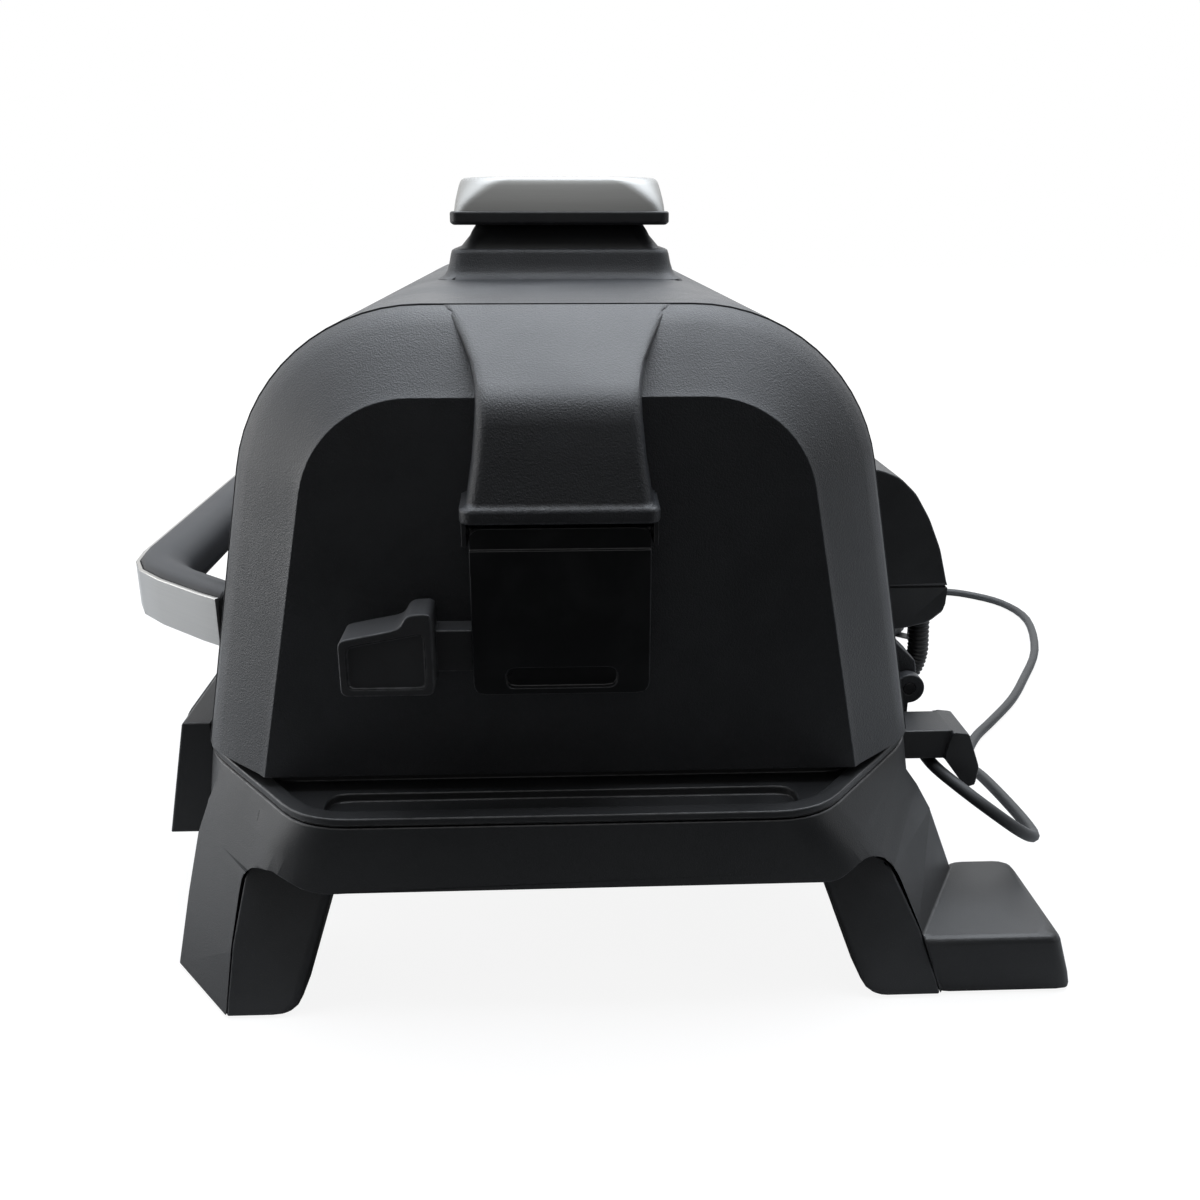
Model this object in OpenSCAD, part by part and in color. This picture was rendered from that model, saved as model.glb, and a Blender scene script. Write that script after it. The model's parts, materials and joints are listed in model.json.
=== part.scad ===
// Electric outdoor grill and smoker with a hinged lid, a pellet smoke box on the lid's right-hand end,
// a vent tower, a front control panel, a slide-out grease tray and a mains lead.
// Millimetres, +Z up, front towards -Y, smoke box towards +X, feet on z = 0.

/* [Base] */
// how far the base's rim stands out beyond the lid's ends
end_shelf = 29; // [26:0.5:32]
// how far the base stands out beyond the lid's front and rear edges
side_shelf = 5; // [4:0.25:6]
// length of the straight side rim between the cut corners
side_len = 206; // [190:1:215]
// how much shorter than the lid's shell the straight front wall is
front_cut = 20; // [16:1:26]
// height of the rim's top face
rim_z = 96; // [95:0.5:97]
// height of the skirt's lower edge
skirt_z = 61; // [60:0.5:64]
// wall of the moulded base
base_wall = 3; // [2.6:0.1:3.4]
// thickness of the legs' outer walls
leg_wall = 6; // [5:0.5:7]
// how much the front legs' end covers lean back, per millimetre of height
front_lean = 0.31; // [0.28:0.01:0.33]
// how much the rear legs' end covers lean back, per millimetre of height
rear_lean = 0.24; // [0.22:0.01:0.28]
// rounding of the covers' inner edges
cover_round = 5; // [4:0.5:6]
// gap of the seam beside each leg cover
seam_gap = 0.3; // [0.2:0.05:0.5]
// how far the rear feet reach behind the middle line
foot_reach = 222; // [218:0.5:226]

/* [Lid] */
// length of the lid's main shell
shell_len = 470; // [464:1:476]
// half the lid's depth at its lower edge
lid_half = 156.5; // [155:0.25:158]
// height of the lid's top face
lid_top = 288.7; // [287:0.1:290]
// slope of the lid's front and rear walls from upright
lid_draft = 10.9; // [10.5:0.1:11.3]
// radius between the lid's walls and its top
lid_r = 80; // [76:1:84]
// thickness of the lid's walls
lid_wall = 2.5; // [2.2:0.1:2.8]
// half the depth of the flat end face at its lower edge
face_half = 124; // [122:0.5:126]
// how far the flat end face stays below the lid's top
face_drop = 31.7; // [29:0.1:34]
// how far the end caps stand out from the main shell
cap_depth = 36; // [34:0.5:37]
// gap between the lid's lower edge and the base's ledge
lid_gap = 0.4; // [0.3:0.05:0.8]
// space between the lid and its liner
liner_gap = 9.2; // [8.8:0.1:9.6]

/* [Hinge] */
// distance of the hinge line behind the lid's rear wall
hinge_back = 15; // [14:0.5:16]
// diameter of the hinge pins
hinge_pin_d = 6; // [5:0.5:7]
// clearance of the knuckle's bore over the pin, on the diameter
hinge_clear = 0.12; // [0.06:0.02:0.18]

/* [Handle] */
// how far the handle's face stands in front of the middle line
handle_reach = 203; // [200:0.5:206]
// half the length of the handle's straight bar
handle_half = 158; // [150:1:164]
// height of the middle of the handle
handle_z = 155; // [152:0.5:158]
// height of the steel strip
strip_h = 22; // [20:0.5:23]

/* [Smoke box] */
// half the width of the pellet flap
flap_half = 34; // [32:0.5:34.5]
// height of the flap from its lower edge to its hinge line
flap_h = 64.5; // [62:0.5:67]
// how far the flap's hinge line is below the lid's top
flap_drop = 78.2; // [77.7:0.1:78.7]
// diameter of the flap's pin
flap_pin_d = 4; // [3.5:0.5:5]
// clearance of the flap's bore over its pin, on the diameter
flap_clear = 0.1; // [0.06:0.02:0.16]

/* [Tower] */
// half the tower cap's depth, front to back
cap_half_y = 58.2; // [56:0.1:60]
// half the tower cap's length, side to side
cap_half_x = 66; // [62:0.5:70]
// height of the vent tower above the lid
tower_h = 51.5; // [49:0.1:54]

/* [Controls] */
// half the length of the control panel
panel_half = 215; // [210:1:217]
// diameter of the dial
dial_d = 38; // [34:1:40]
// diameter of the dial's shaft
dial_shaft = 6; // [5:0.5:6]
// clearance of the dial's bush over its shaft, on the diameter
dial_clear = 0.12; // [0.06:0.02:0.18]
// travel of the push buttons
press = 1.2; // [0.8:0.1:1.5]
// gap around each push button
button_gap = 0.4; // [0.3:0.05:0.5]

/* [Cooking] */
// ledge between the well and the lid's ends
end_ledge = 13.4; // [12:0.2:15]
// ledge between the well and the lid's front and rear edges
side_ledge = 38.9; // [36:0.5:42]
// thickness of the well's sheet
well_wall = 1.4; // [1:0.1:1.6]
// gap between the grate and the well's wall
grate_gap = 8.2; // [6:0.2:9]
// thickness of the grate over its ribs
grate_h = 14; // [12:0.5:15]

/* [Fan] */
// radius of the fan wheel
fan_r = 62; // [58:1:66]
// number of blades
blades = 8; // [6:1:10]
// diameter of the fan's shaft
fan_shaft = 5; // [4:0.5:6]
// clearance of the motor's bearing over the shaft, on the diameter
fan_clear = 0.1; // [0.06:0.02:0.16]

/* [Cord] */
// diameter of the mains lead
cord_d = 6; // [5.8:0.1:6.2]
// radius of the coil's outer turn
coil_r = 42; // [41:0.5:43]
// spacing of the coil's turns
coil_pitch = 6.8; // [6.6:0.1:7]

/* [Hidden] */
body_y = (handle_reach - foot_reach) / 2;
sx = shell_len / 2;
face_x = sx + cap_depth;
bx = face_x + end_shelf;
by = lid_half + side_shelf;
sy = side_len / 2;
fx = sx - front_cut / 2;
face_top = lid_top - face_drop;
total_h = lid_top + tower_h;
deck_z = rim_z - 2.8;
rest_z = rim_z + 3.6;
lid_z = rest_z + lid_gap;
hinge_z = lid_z;
liner_z = lid_z + 4.2;
roof_z = lid_top - liner_gap - 1.2;
well_x = sx - end_ledge - well_wall;
well_y = lid_half - side_ledge - well_wall;
grate_x = well_x - grate_gap;
grate_y = well_y - grate_gap;
grate_z = 79.6;
flap_axis_z = lid_top - flap_drop;
flap_z = flap_axis_z - flap_h;
hinge_y = lid_half + hinge_back;
leg_z = 1;
tilt = 11.4;
panel_at = [0, -by - 19.2, 71.5];
cap_back = sx + 0.93 * cap_depth;
flap_axis_x = face_x + 18;
flap_face = flap_axis_x + 5.5;
knuckle_x = 172;
cord_r = cord_d / 2;
charcoal = [0.16, 0.165, 0.17];
soot = [0.06, 0.06, 0.065];
steel = [0.72, 0.72, 0.71];
grey = [0.27, 0.28, 0.29];
rubber = [0.08, 0.08, 0.085];

// Outward normal of an edge of a counter-clockwise polygon
function edge_n(a, b) = let (d = b - a) [d[1], -d[0]] / norm(d);

// The same polygon with every edge moved inwards by t
function inset(p, t) = [for (i = [0:len(p) - 1])
    let (
        n1 = edge_n(p[(i + len(p) - 1) % len(p)], p[i]),
        n2 = edge_n(p[i], p[(i + 1) % len(p)])
    ) p[i] - t * (n1 + n2) / (1 + n1 * n2)];

// Rounds each corner of a polygon, starting r away from it
function soft(p, r, n = 5) = [for (i = [0:len(p) - 1])
    let (
        a = p[(i + len(p) - 1) % len(p)],
        b = p[i],
        c = p[(i + 1) % len(p)],
        u = b + r * (a - b) / norm(a - b),
        v = b + r * (c - b) / norm(c - b)
    ) for (k = [0:n]) let (s = k / n) (1 - s) * (1 - s) * u + 2 * s * (1 - s) * b + s * s * v];

// A rectangle given by its corners
function rect(x0, y0, x1, y1) = [[x0, y0], [x1, y0], [x1, y1], [x0, y1]];

// A flat ring of points lifted to a height
function at_z(p, z) = [for (q = p) [q[0], q[1], z]];

// A section in the Y-Z plane placed at x
function at_x(p, x) = [for (q = p) [x, q[0], q[1]]];

// An arch: sloping walls, round shoulders and a flat top
function arch(hw, z0, z1, d, r, n = 14) =
    let (
        yc = hw - (r + (z1 - r - z0) * sin(d)) / cos(d),
        right = [for (i = [0:n]) let (a = d + (90 - d) * i / n) [yc + r * cos(a), z1 - r + r * sin(a)]]
    ) concat([[hw, z0]], right, [for (i = [n:-1:0]) [-right[i][0], right[i][1]]], [[-hw, z0]]);

function lid_arch(t) = arch(lid_half - t, lid_z, lid_top - t, lid_draft, lid_r - t);
function face_arch(t) = arch(face_half - t, lid_z, face_top - t, 11.2, 45 - t);
function mix(a, b, s) = [for (i = [0:len(a) - 1]) (1 - s) * a[i] + s * b[i]];
function lift(p, z) = [for (q = p) [q[0], max(q[1], z)]];

// Plan of the base with its cut corners, of the skirt's lower edge and of the lid's lower edge
function base_plan(t) = inset([[bx, -sy], [bx, sy], [fx, by], [-fx, by], [-bx, sy], [-bx, -sy],
    [-fx, -by], [fx, -by]], t);
function lid_plan(t) = inset([[face_x, -face_half], [face_x, face_half], [sx, lid_half],
    [-sx, lid_half], [-face_x, face_half], [-face_x, -face_half], [-sx, -lid_half], [sx, -lid_half]], t);

// A closed solid through rings of points, each with the same count
module loft(rings) {
    n = len(rings[0]);
    m = len(rings);
    sides = [for (k = [0:m - 2]) for (i = [0:n - 1])
        let (a = k * n + i, b = k * n + (i + 1) % n) each [[a, a + n, b + n], [a, b + n, b]]];
    polyhedron([for (r = rings) each r], concat([[for (i = [0:n - 1]) i]], sides,
        [[for (i = [n - 1:-1:0]) (m - 1) * n + i]]), convexity = 6);
}

function unit(v) = v / norm(v);
function way(p, i) = unit(p[min(i + 1, len(p) - 1)] - p[max(i - 1, 0)]);

// Rings of a section swept along a path; ref is never along the path
function sweep(path, section, ref) = [for (i = [0:len(path) - 1])
    let (t = way(path, i), s = unit(cross(t, ref)), u = cross(t, s))
    [for (q = section) path[i] + q[0] * s + q[1] * u]];
function disc(r, n) = [for (k = [0:n - 1]) r * [cos(360 * k / n), sin(360 * k / n)]];

// A smooth curve through points, k steps to each span
function smooth(p, k) = concat([for (i = [0:len(p) - 2]) for (j = [0:k - 1])
    let (
        a = p[max(i - 1, 0)],
        b = p[i],
        c = p[i + 1],
        d = p[min(i + 2, len(p) - 1)],
        s = j / k
    ) 0.5 * (2 * b + (c - a) * s + (2 * a - 5 * b + 4 * c - d) * s * s
        + (3 * b - a - 3 * c + d) * s * s * s)], [p[len(p) - 1]]);
function run(p) = len(p) < 2 ? 0 : [for (i = 1, l = 0; i <= len(p); l = l
    + (i < len(p) ? norm(p[i] - p[i - 1]) : 0), i = i + 1) l][len(p) - 1];

// Places a piece on the body's middle line
module body() {
    translate([0, body_y, 0]) children();
}

// Draws a Y-Z section along X from x0 to x1
module along_x(x0, x1) {
    translate([x0, 0, 0]) rotate([90, 0, 90]) linear_extrude(x1 - x0) children();
}

module both_sides() {
    children();
    mirror([1, 0, 0]) children();
}

// The control panel's frame: x along it, y up its slope, z out of its face
module on_panel() {
    translate(panel_at) rotate([90 - tilt, 0, 0]) children();
}

// Moves a corner's pieces, drawn for a corner at 300 by 161.5, to where the base's rear or front corner is
module rear_corner() {
    translate([bx - 300, by - 161.5, 0]) children();
}

module front_corner() {
    translate([bx - 300, 161.5 - by, 0]) children();
}

// How far down the base's outside a height is: 0 at the skirt's top, 1 under the legs
function fall(z) = (rim_z - 4.2 - z) / (rim_z - 4.2 - leg_z);

// The two ends of a cut corner's face at a height; below the skirt the face is the leg's outer side
function front_a(z) = [fx + 33 * fall(z), -by - 13 * fall(z)];
function front_b(z) = let (s = fall(z)) [bx - 4 * s, -sy - 40.4 * s * (1.25 - 0.25 * s)];
function rear_a(z) = [fx + 13 * fall(z), by + 31.5 * fall(z)];
function rear_b(z) = let (s = fall(z)) [bx - 6.5 * s, sy + 60 * s * (1.35 - 0.35 * s)];

// Points of the line from a to b where x or y has a value
function line_at_x(a, b, x) = b + (a - b) * (x - b[0]) / (a[0] - b[0]);
function line_at_y(a, b, y) = b + (a - b) * (y - b[1]) / (a[1] - b[1]);

// Plan of the skirt at a height, and one of its rings, t inside it and moved up by dz
function skirt_plan(z) = let (
    f = front_b(z),
    r = rear_b(z),
    p = line_at_y(front_a(z), f, -by),
    q = line_at_y(rear_a(z), r, by)
) [f, r, q, [-q[0], q[1]], [-r[0], r[1]], [-f[0], f[1]], [-p[0], p[1]], p];
function skirt_ring(z, t, dz) = at_z(soft(inset(skirt_plan(z), t), 18 - t / 2, 5), z + dz);

// The legs' end covers lean back from the floor; the seam is where a cover meets the leg's outer side
leg_heights = [leg_z, 30, 57, 72, 86];
leg_pull = [0, 0, 2, 8, 16];
function inward(a, b, side) = side * [a[1] - b[1], b[0] - a[0]] / norm(b - a);
function turned(p, side) = side > 0 ? p : [for (i = [len(p) - 1:-1:0]) p[i]];
function wall_ring(z, a, b, q, side, pull) = let (
    d = unit(b - a),
    n = leg_wall * inward(a, b, side),
    e = q + 4 * d,
    p = a + pull * d
) at_z(turned([p, e, e + n, p + n], side), z);
function front_seam(z) = line_at_x(front_a(z), front_b(z), front_b(leg_z)[0] - front_lean * (z - leg_z));
function rear_seam(z) = line_at_x(rear_a(z), rear_b(z), rear_b(leg_z)[0] - rear_lean * (z - leg_z));

// Inner side of the covers at a height, and how far their lower edge is rounded in
function front_inner(z) = [276 - 0.21 * (z - leg_z), -112.8 + 0.31 * (z - leg_z)] + [bx - 300, 161.5 - by];
function front_mid(z) = [240 - 0.16 * (z - leg_z), -140 + 0.27 * (z - leg_z)] + [bx - 300, 161.5 - by];
function rear_inner(z) = [274 - 0.21 * (z - leg_z), 130 - 0.375 * (z - leg_z)] + [bx - 300, by - 161.5];
function rear_mid(z) = [240 - 0.16 * (z - leg_z), 150 - 0.27 * (z - leg_z)] + [bx - 300, by - 161.5];
function low_round(z) = let (h = max(0, leg_z + cover_round - z))
    cover_round - sqrt(cover_round * cover_round - h * h);

// Gap between a cover and the seam, which widens behind the arch's curve
function edge_gap(z, side) = let (h = max(0, z - 52))
    seam_gap + 0.08 * h + (side > 0 ? 0.022 : 0.045) * h * h;

// Rounded inner edge of a cover, and its rings below the skirt's edge and behind the arch
function cover_edge(x, inner, side) = [for (k = [0:4]) let (t = k / 4)
    [x - cover_round * t * t, inner - side * cover_round * (1 - t) * (1 - t)]];
function cover_ring(z, a, b, q, side, back, mid) = let (
    n = inward(a, b, side),
    e = leg_wall + 1.4,
    pull = max(0, (z - 50) / 2.5),
    low = [0, -side * low_round(z)]
) at_z(turned(concat([a + e * n + (pull + 2) * unit(b - a), q + [e / n[0], side * edge_gap(z, side)],
    q + [0, side * edge_gap(z, side)]], cover_edge(q[0], back[1] + low[1] - side * 0.6, side),
    [back + low, mid]), side), z);
function cover_top(z, q, side, shift, inner) = let (p = q + [0, side * (edge_gap(z, side) + shift)])
    at_z(turned(concat([p + [-15.5, side], p + [-7, 0], p], cover_edge(q[0], inner[1] - side * 0.6, side),
        [[q[0] - 9, inner[1] - side * 4], [q[0] - 4.5, inner[1] - side * 12]]), side), z);

// Rear foot: a drafted block that starts in the middle of the rear post's wall
function foot_front(x, z) = 160.4 - 11 * (z - leg_z) / (27 - leg_z) + (291.8 - x) * 0.55;
function foot_ring(z, t, back) = at_z(soft([
    [225 + t, foot_front(225 + t, z)],
    [292 - t, foot_front(292 - t, z)],
    [292 - t, back], [225 + t, back]], 7, 4), z);

// Openings in the end walls in front of the covers, with a low arch over each leg
module leg_arches() {
    low = skirt_z - 0.1;
    along_x(bx - 38, bx + 20) polygon(soft(concat([[front_seam(leg_z)[1] - 3.6, -20]],
        [for (z = [leg_z, 30, 52]) [front_seam(z)[1], z]], [[-sy - 32.2, 58.3], [-sy - 29.2, 62.4],
        [-sy - 24, 65.6], [-sy - 16, 68.2], [-sy - 9, 66], [-sy - 2, 62.6], [6 - sy, low], [-60, low],
        [-60, -20]]), 2.4, 3));
    along_x(bx - 38, bx + 20) polygon(soft(concat([[rear_seam(leg_z)[1] + 8, -20]],
        [for (z = [leg_z, 30, 52]) [rear_seam(z)[1], z]], [[sy + 37, 59], [sy + 33.5, 62.6],
        [sy + 29.4, 65.4], [sy + 24, 67.8], [sy + 19.6, 67.4], [sy + 15, 64.8], [sy + 10, 61.8],
        [sy + 5, low], [60, low], [60, -20]]), 2.2, 3));
}

module leg_walls() {
    difference() {
        union() {
            loft([for (i = [0:4]) let (z = leg_heights[i])
                wall_ring(z, front_a(z), front_b(z), front_seam(z), 1, leg_pull[i])]);
            loft([for (i = [0:4]) let (z = leg_heights[i])
                wall_ring(z, rear_a(z), rear_b(z), rear_seam(z), -1, leg_pull[i])]);
        }
        leg_arches();
    }
}

module skirt_shell() {
    heights = [skirt_z, 67, 78, rim_z - 4.2];
    difference() {
        loft([for (z = heights) skirt_ring(z, 0, 0)]);
        loft([for (z = heights) skirt_ring(z, base_wall, z == skirt_z ? -1 : z > 90 ? 1 : 0)]);
    }
}

module base_skirt() {
    color(charcoal) body() {
        difference() {
            skirt_shell();
            both_sides() leg_arches();
        }
        both_sides() {
            leg_walls();
            difference() {
                rear_corner() loft([foot_ring(leg_z, 0, foot_reach), foot_ring(7, 0.3, foot_reach - 1.2),
                    foot_ring(23.5, 1.4, foot_reach - 6), foot_ring(26, 2.6, foot_reach - 8),
                    foot_ring(27, 5, foot_reach - 11)]);
                leg_arches();
            }
        }
    }
}

module base_rim() {
    color(charcoal) body() difference() {
        union() {
            translate([0, 0, rim_z - 3.2]) linear_extrude(3.2) polygon(soft(base_plan(0), 18, 5));
            translate([0, 0, rim_z - 4.2]) linear_extrude(2) polygon(soft(base_plan(0.9), 17.5, 5));
            translate([0, 0, 86.5]) linear_extrude(6) polygon(soft(base_plan(base_wall + 0.8), 16.5, 5));
            translate([0, 0, 90]) linear_extrude(rest_z - 90) polygon(soft(lid_plan(9), 8, 3));
        }
        difference() {
            translate([0, 0, deck_z]) linear_extrude(20) polygon(soft(base_plan(7), 15, 5));
            translate([0, 0, 80]) linear_extrude(40) polygon(soft(lid_plan(9), 8, 3));
        }
        both_sides() translate([0, 0, 89.4]) linear_extrude(10)
            polygon(soft(rect(face_x + 2.5, -97, bx - 8, 97), 8, 4));
        translate([0, 0, 80]) linear_extrude(40)
            polygon(soft(rect(-well_x - 1.8, -well_y - 1.8, well_x + 1.8, well_y + 1.8), 14, 4));
        for (x = [-knuckle_x, knuckle_x]) translate([x - 20, by - 14, 88]) cube([40, 20, 20]);
    }
}

// The legs' end covers
module leg_covers() {
    heights = [for (h = [0, 0.7, 2.5, cover_round]) leg_z + h];
    upper = [30, 57, skirt_z - 0.4];
    tops = [[skirt_z - 0.2, 0.2], [skirt_z + 5, 5]];
    color(charcoal) body() both_sides() {
        loft(concat([for (z = concat(heights, upper))
            cover_ring(z, front_a(z), front_b(z), front_seam(z), 1, front_inner(z), front_mid(z))],
            [for (t = tops) cover_top(t[0], front_seam(t[0]), 1, t[1], front_inner(t[0]))]));
        loft(concat([for (z = concat(heights, upper))
            cover_ring(z, rear_a(z), rear_b(z), rear_seam(z), -1, rear_inner(z), rear_mid(z))],
            [for (t = tops) cover_top(t[0], rear_seam(t[0]), -1, t[1], rear_inner(t[0]))]));
    }
}

module foot_pads() {
    color(rubber) body() both_sides() {
        front_corner() translate([272, -136, 0]) cylinder(d = 24, h = leg_z, $fn = 40);
        rear_corner() translate([262, 156, 0]) cylinder(d = 24, h = leg_z, $fn = 40);
        rear_corner() translate([258, 202, 0]) cylinder(d = 22, h = leg_z, $fn = 40);
    }
}

// Closes the base underneath and guides the grease tray
module bottom_pan() {
    color(soot) body() difference() {
        translate([0, 0, 44]) linear_extrude(42.5)
            polygon(soft(rect(-fx - 1, 11.5 - by, fx + 1, by - 9.5), 20, 4));
        translate([0, 0, 46]) linear_extrude(50)
            polygon(soft(rect(1 - fx, 13.5 - by, fx - 1, by - 11.5), 19, 4));
        translate([-82, 100, 46]) cube([164, 80, 15.5]);
    }
}

module cooking_well() {
    color(soot) body() difference() {
        union() {
            translate([0, 0, 64]) linear_extrude(rest_z - 64 + 1.2)
                polygon(soft(rect(-well_x - well_wall, -well_y - well_wall,
                    well_x + well_wall, well_y + well_wall), 14, 4));
            translate([0, 0, rest_z]) linear_extrude(1.2)
                polygon(soft(rect(-well_x - 4.8, -well_y - 6.8, well_x + 4.8, well_y + 6.8), 16, 4));
        }
        translate([0, 0, 64 + well_wall]) linear_extrude(60)
            polygon(soft(rect(-well_x, -well_y, well_x, well_y), 13, 4));
        translate([0, 70, 60]) cylinder(d = 32, h = 10, $fn = 48);
    }
    color(soot) body() for (x = [-1, 1]) for (y = [-1, 1])
        translate([x * (grate_x - 16), y * (grate_y - 14), 64 + well_wall])
            cylinder(d = 12, h = grate_z - 0.2 - 64 - well_wall, $fn = 32);
}

// Ribbed cooking plate with drain slots between its ribs
module grill_grate() {
    rib = (grate_x - 7) / 11.65;
    color(grey) body() difference() {
        translate([0, 0, grate_z]) linear_extrude(grate_h)
            polygon(soft(rect(-grate_x, -grate_y, grate_x, grate_y), 16, 4));
        translate([0, 0, grate_z + 4.4]) linear_extrude(grate_h) difference() {
            polygon(soft(rect(7 - grate_x, 7 - grate_y, grate_x - 7, grate_y - 7), 12, 4));
            for (i = [-11:11]) translate([i * rib - 3.5, 5 - grate_y]) square([7, 2 * grate_y - 10]);
        }
        for (i = [-11:10]) for (k = [-1:1])
            translate([(i + 0.5) * rib - 2.5, k * grate_y * 0.61 - 24, grate_z - 9]) cube([5, 48, 20]);
    }
}

module grease_tray() {
    color(steel) body() {
        difference() {
            translate([0, 0, 46.5]) linear_extrude(13) polygon(soft(rect(-76, 30, 76, 154), 8, 4));
            translate([0, 0, 48]) linear_extrude(20) polygon(soft(rect(-74.5, 31.5, 74.5, 152.5), 7, 4));
        }
        difference() {
            translate([-80, 154, 46.5]) cube([160, 10, 14]);
            translate([-40, 157, 40]) cube([80, 12, 15.5]);
        }
    }
}

panel_foot = [-by - 19.2 - 28.5 * tan(tilt), 43];
panel_sec = [panel_foot, [-by, 43], [-by, rim_z + 4],
    [panel_foot[0] + (rim_z + 4 - 43) * tan(tilt), rim_z + 4]];

module control_housing() {
    color(soot) body() {
        difference() {
            along_x(-panel_half, panel_half) polygon(panel_sec);
            along_x(-panel_half + 3, panel_half - 3) polygon(inset(panel_sec, 2.6));
            on_panel() translate([-186, -21, -6]) cube([372, 42, 12]);
        }
    }
}

dial_x = -116;
key_x = [96, 96, -62, -62, -170, 168];
key_y = [9, -9, 9, -9, 0, 0];

function key_plan(i, g) = soft(rect(key_x[i] - 9 - g, key_y[i] - 6 - g, key_x[i] + 9 + g,
    key_y[i] + 6 + g), 4, 4);

module control_face() {
    color(soot) body() on_panel() difference() {
        linear_extrude(2) polygon(soft(rect(-200, -26, 200, 26), 8, 4));
        translate([0, 0, -3]) linear_extrude(12) polygon(soft(rect(-42, -17, 76, 17), 4, 4));
        translate([0, 0, -3]) linear_extrude(12) for (i = [0:5]) polygon(key_plan(i, button_gap));
        translate([dial_x, 0, -3]) cylinder(d = dial_d + 9, h = 12, $fn = 72);
    }
}

module display_lens() {
    color(soot) body() on_panel() difference() {
        translate([0, 0, -1.2]) linear_extrude(3.4) polygon(soft(rect(-42, -17, 76, 17), 4, 4));
        translate([0, 0, -3]) linear_extrude(3.6) polygon(soft(rect(-38, -14, 72, 14), 3, 4));
    }
}

module control_board() {
    color([0.1, 0.3, 0.18]) body() on_panel() difference() {
        union() {
            translate([-196, -18, -11]) cube([392, 36, 1.6]);
            for (x = [-191, 191]) translate([x, 0, -9.4]) cylinder(d = 7, h = 6.8, $fn = 32);
            translate([dial_x, 0, -9.4]) cylinder(d = 14, h = 7, $fn = 40);
            translate([-38, -13, -9.4]) cube([110, 26, 8]);
            for (i = [0:5]) translate([key_x[i] - 3, key_y[i] - 3, -9.4]) cube([6, 6, 4]);
        }
        translate([dial_x, 0, -8]) cylinder(d = dial_shaft + dial_clear, h = 12, $fn = 48);
    }
}

module dial_bezel() {
    color(steel) body() on_panel() translate([dial_x, 0, 0]) difference() {
        cylinder(d = dial_d + 9, h = 3, $fn = 72);
        translate([0, 0, -1]) cylinder(d = dial_d + 2, h = 8, $fn = 72);
    }
}

module dial() {
    color(soot) body() on_panel() translate([dial_x, 0, 0]) {
        difference() {
            union() {
                translate([0, 0, 1]) cylinder(d = dial_d, h = 5, $fn = 72);
                translate([0, 0, 1]) cylinder(d = dial_d - 4, h = 17, $fn = 72);
                translate([0, 0, -7.6]) cylinder(d = dial_shaft, h = 10, $fn = 48);
            }
            for (k = [0:23]) rotate([0, 0, 15 * k]) translate([dial_d / 2 - 1.6, 0, 8])
                cylinder(d = 2, h = 20, $fn = 16);
            translate([-1, dial_d / 2 - 10, 17.2]) cube([2, 8, 5]);
        }
    }
}

// A push button in the panel's window, with a flange behind it
module button(i) {
    color(grey) body() on_panel() {
        translate([0, 0, -1.4]) linear_extrude(4.6) polygon(key_plan(i, 0));
        translate([0, 0, -3]) linear_extrude(1.7) polygon(key_plan(i, 1.6));
    }
}

module button_temp_up() {
    button(0);
}

module button_temp_down() {
    button(1);
}

module button_time_up() {
    button(2);
}

module button_time_down() {
    button(3);
}

module button_smoke() {
    button(4);
}

module button_start() {
    button(5);
}

// Two lugs to each side of the knuckle, on a plate on the rear wall
module hinge_brackets() {
    color(charcoal) body() for (x = [-knuckle_x, knuckle_x]) translate([x, 0, 0]) difference() {
        union() {
            translate([-17, by, 77]) cube([34, 1.6, 20]);
            for (s = [-1, 1]) translate([s * 13.75 - 3.25, 0, 0]) {
                translate([0, by, hinge_z - 22]) cube([6.5, hinge_y - by, 22]);
                translate([0, hinge_y, hinge_z]) rotate([0, 90, 0])
                    cylinder(d = hinge_pin_d + 9, h = 6.5, $fn = 48);
            }
        }
        translate([-40, hinge_y, hinge_z]) rotate([0, 90, 0]) cylinder(d = hinge_pin_d, h = 80, $fn = 48);
    }
}

module hinge_pins() {
    color(steel) body() for (x = [-knuckle_x, knuckle_x]) translate([x - 17, hinge_y, hinge_z])
        rotate([0, 90, 0]) {
            cylinder(d = hinge_pin_d, h = 34, $fn = 48);
            translate([0, 0, -2]) cylinder(d = hinge_pin_d + 4, h = 2, $fn = 48);
        }
}

// Arms from the lid's rear wall down to the hinge line
module lid_knuckles() {
    color(charcoal) body() for (x = [-knuckle_x, knuckle_x]) difference() {
        union() {
            along_x(x - 10, x + 10) polygon([[lid_half - 12, hinge_z + 12], [hinge_y + 3, hinge_z + 5],
                [hinge_y + 5, hinge_z + 6], [hinge_y + 4, hinge_z + 12], [lid_half - 12, hinge_z + 42]]);
            translate([x - 10, hinge_y, hinge_z]) rotate([0, 90, 0])
                cylinder(d = hinge_pin_d + 9, h = 20, $fn = 48);
        }
        translate([x - 20, hinge_y, hinge_z]) rotate([0, 90, 0])
            cylinder(d = hinge_pin_d + hinge_clear, h = 40, $fn = 48);
        along_x(x - 20, x + 20) polygon(lid_arch(0));
    }
}

module cord_cleats() {
    color(charcoal) body() both_sides() {
        along_x(192, 215) translate([by - 161.5, 0])
            polygon(soft([[161.5, 75], [183, 75], [187, 78], [190, 87.5], [186, 89.5], [161.5, 89.5]],
                1.5, 3));
        along_x(190, 217) translate([by - 161.5, 0])
            polygon(soft([[182, 76], [194, 60], [198.5, 61.5], [199.5, 71], [193, 88.5], [185, 89.5]],
                1.5, 3));
    }
}

// Clamp block and tapered sleeve where the mains lead leaves the base
module cord_gland() {
    color(rubber) body() {
        translate([66, by, 62]) cube([16, 24, 16]);
        translate([82, 169 - body_y, 70]) rotate([0, 90, 0])
            cylinder(d1 = 13, d2 = cord_d + 2.4, h = 28, $fn = 40);
    }
}

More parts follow.
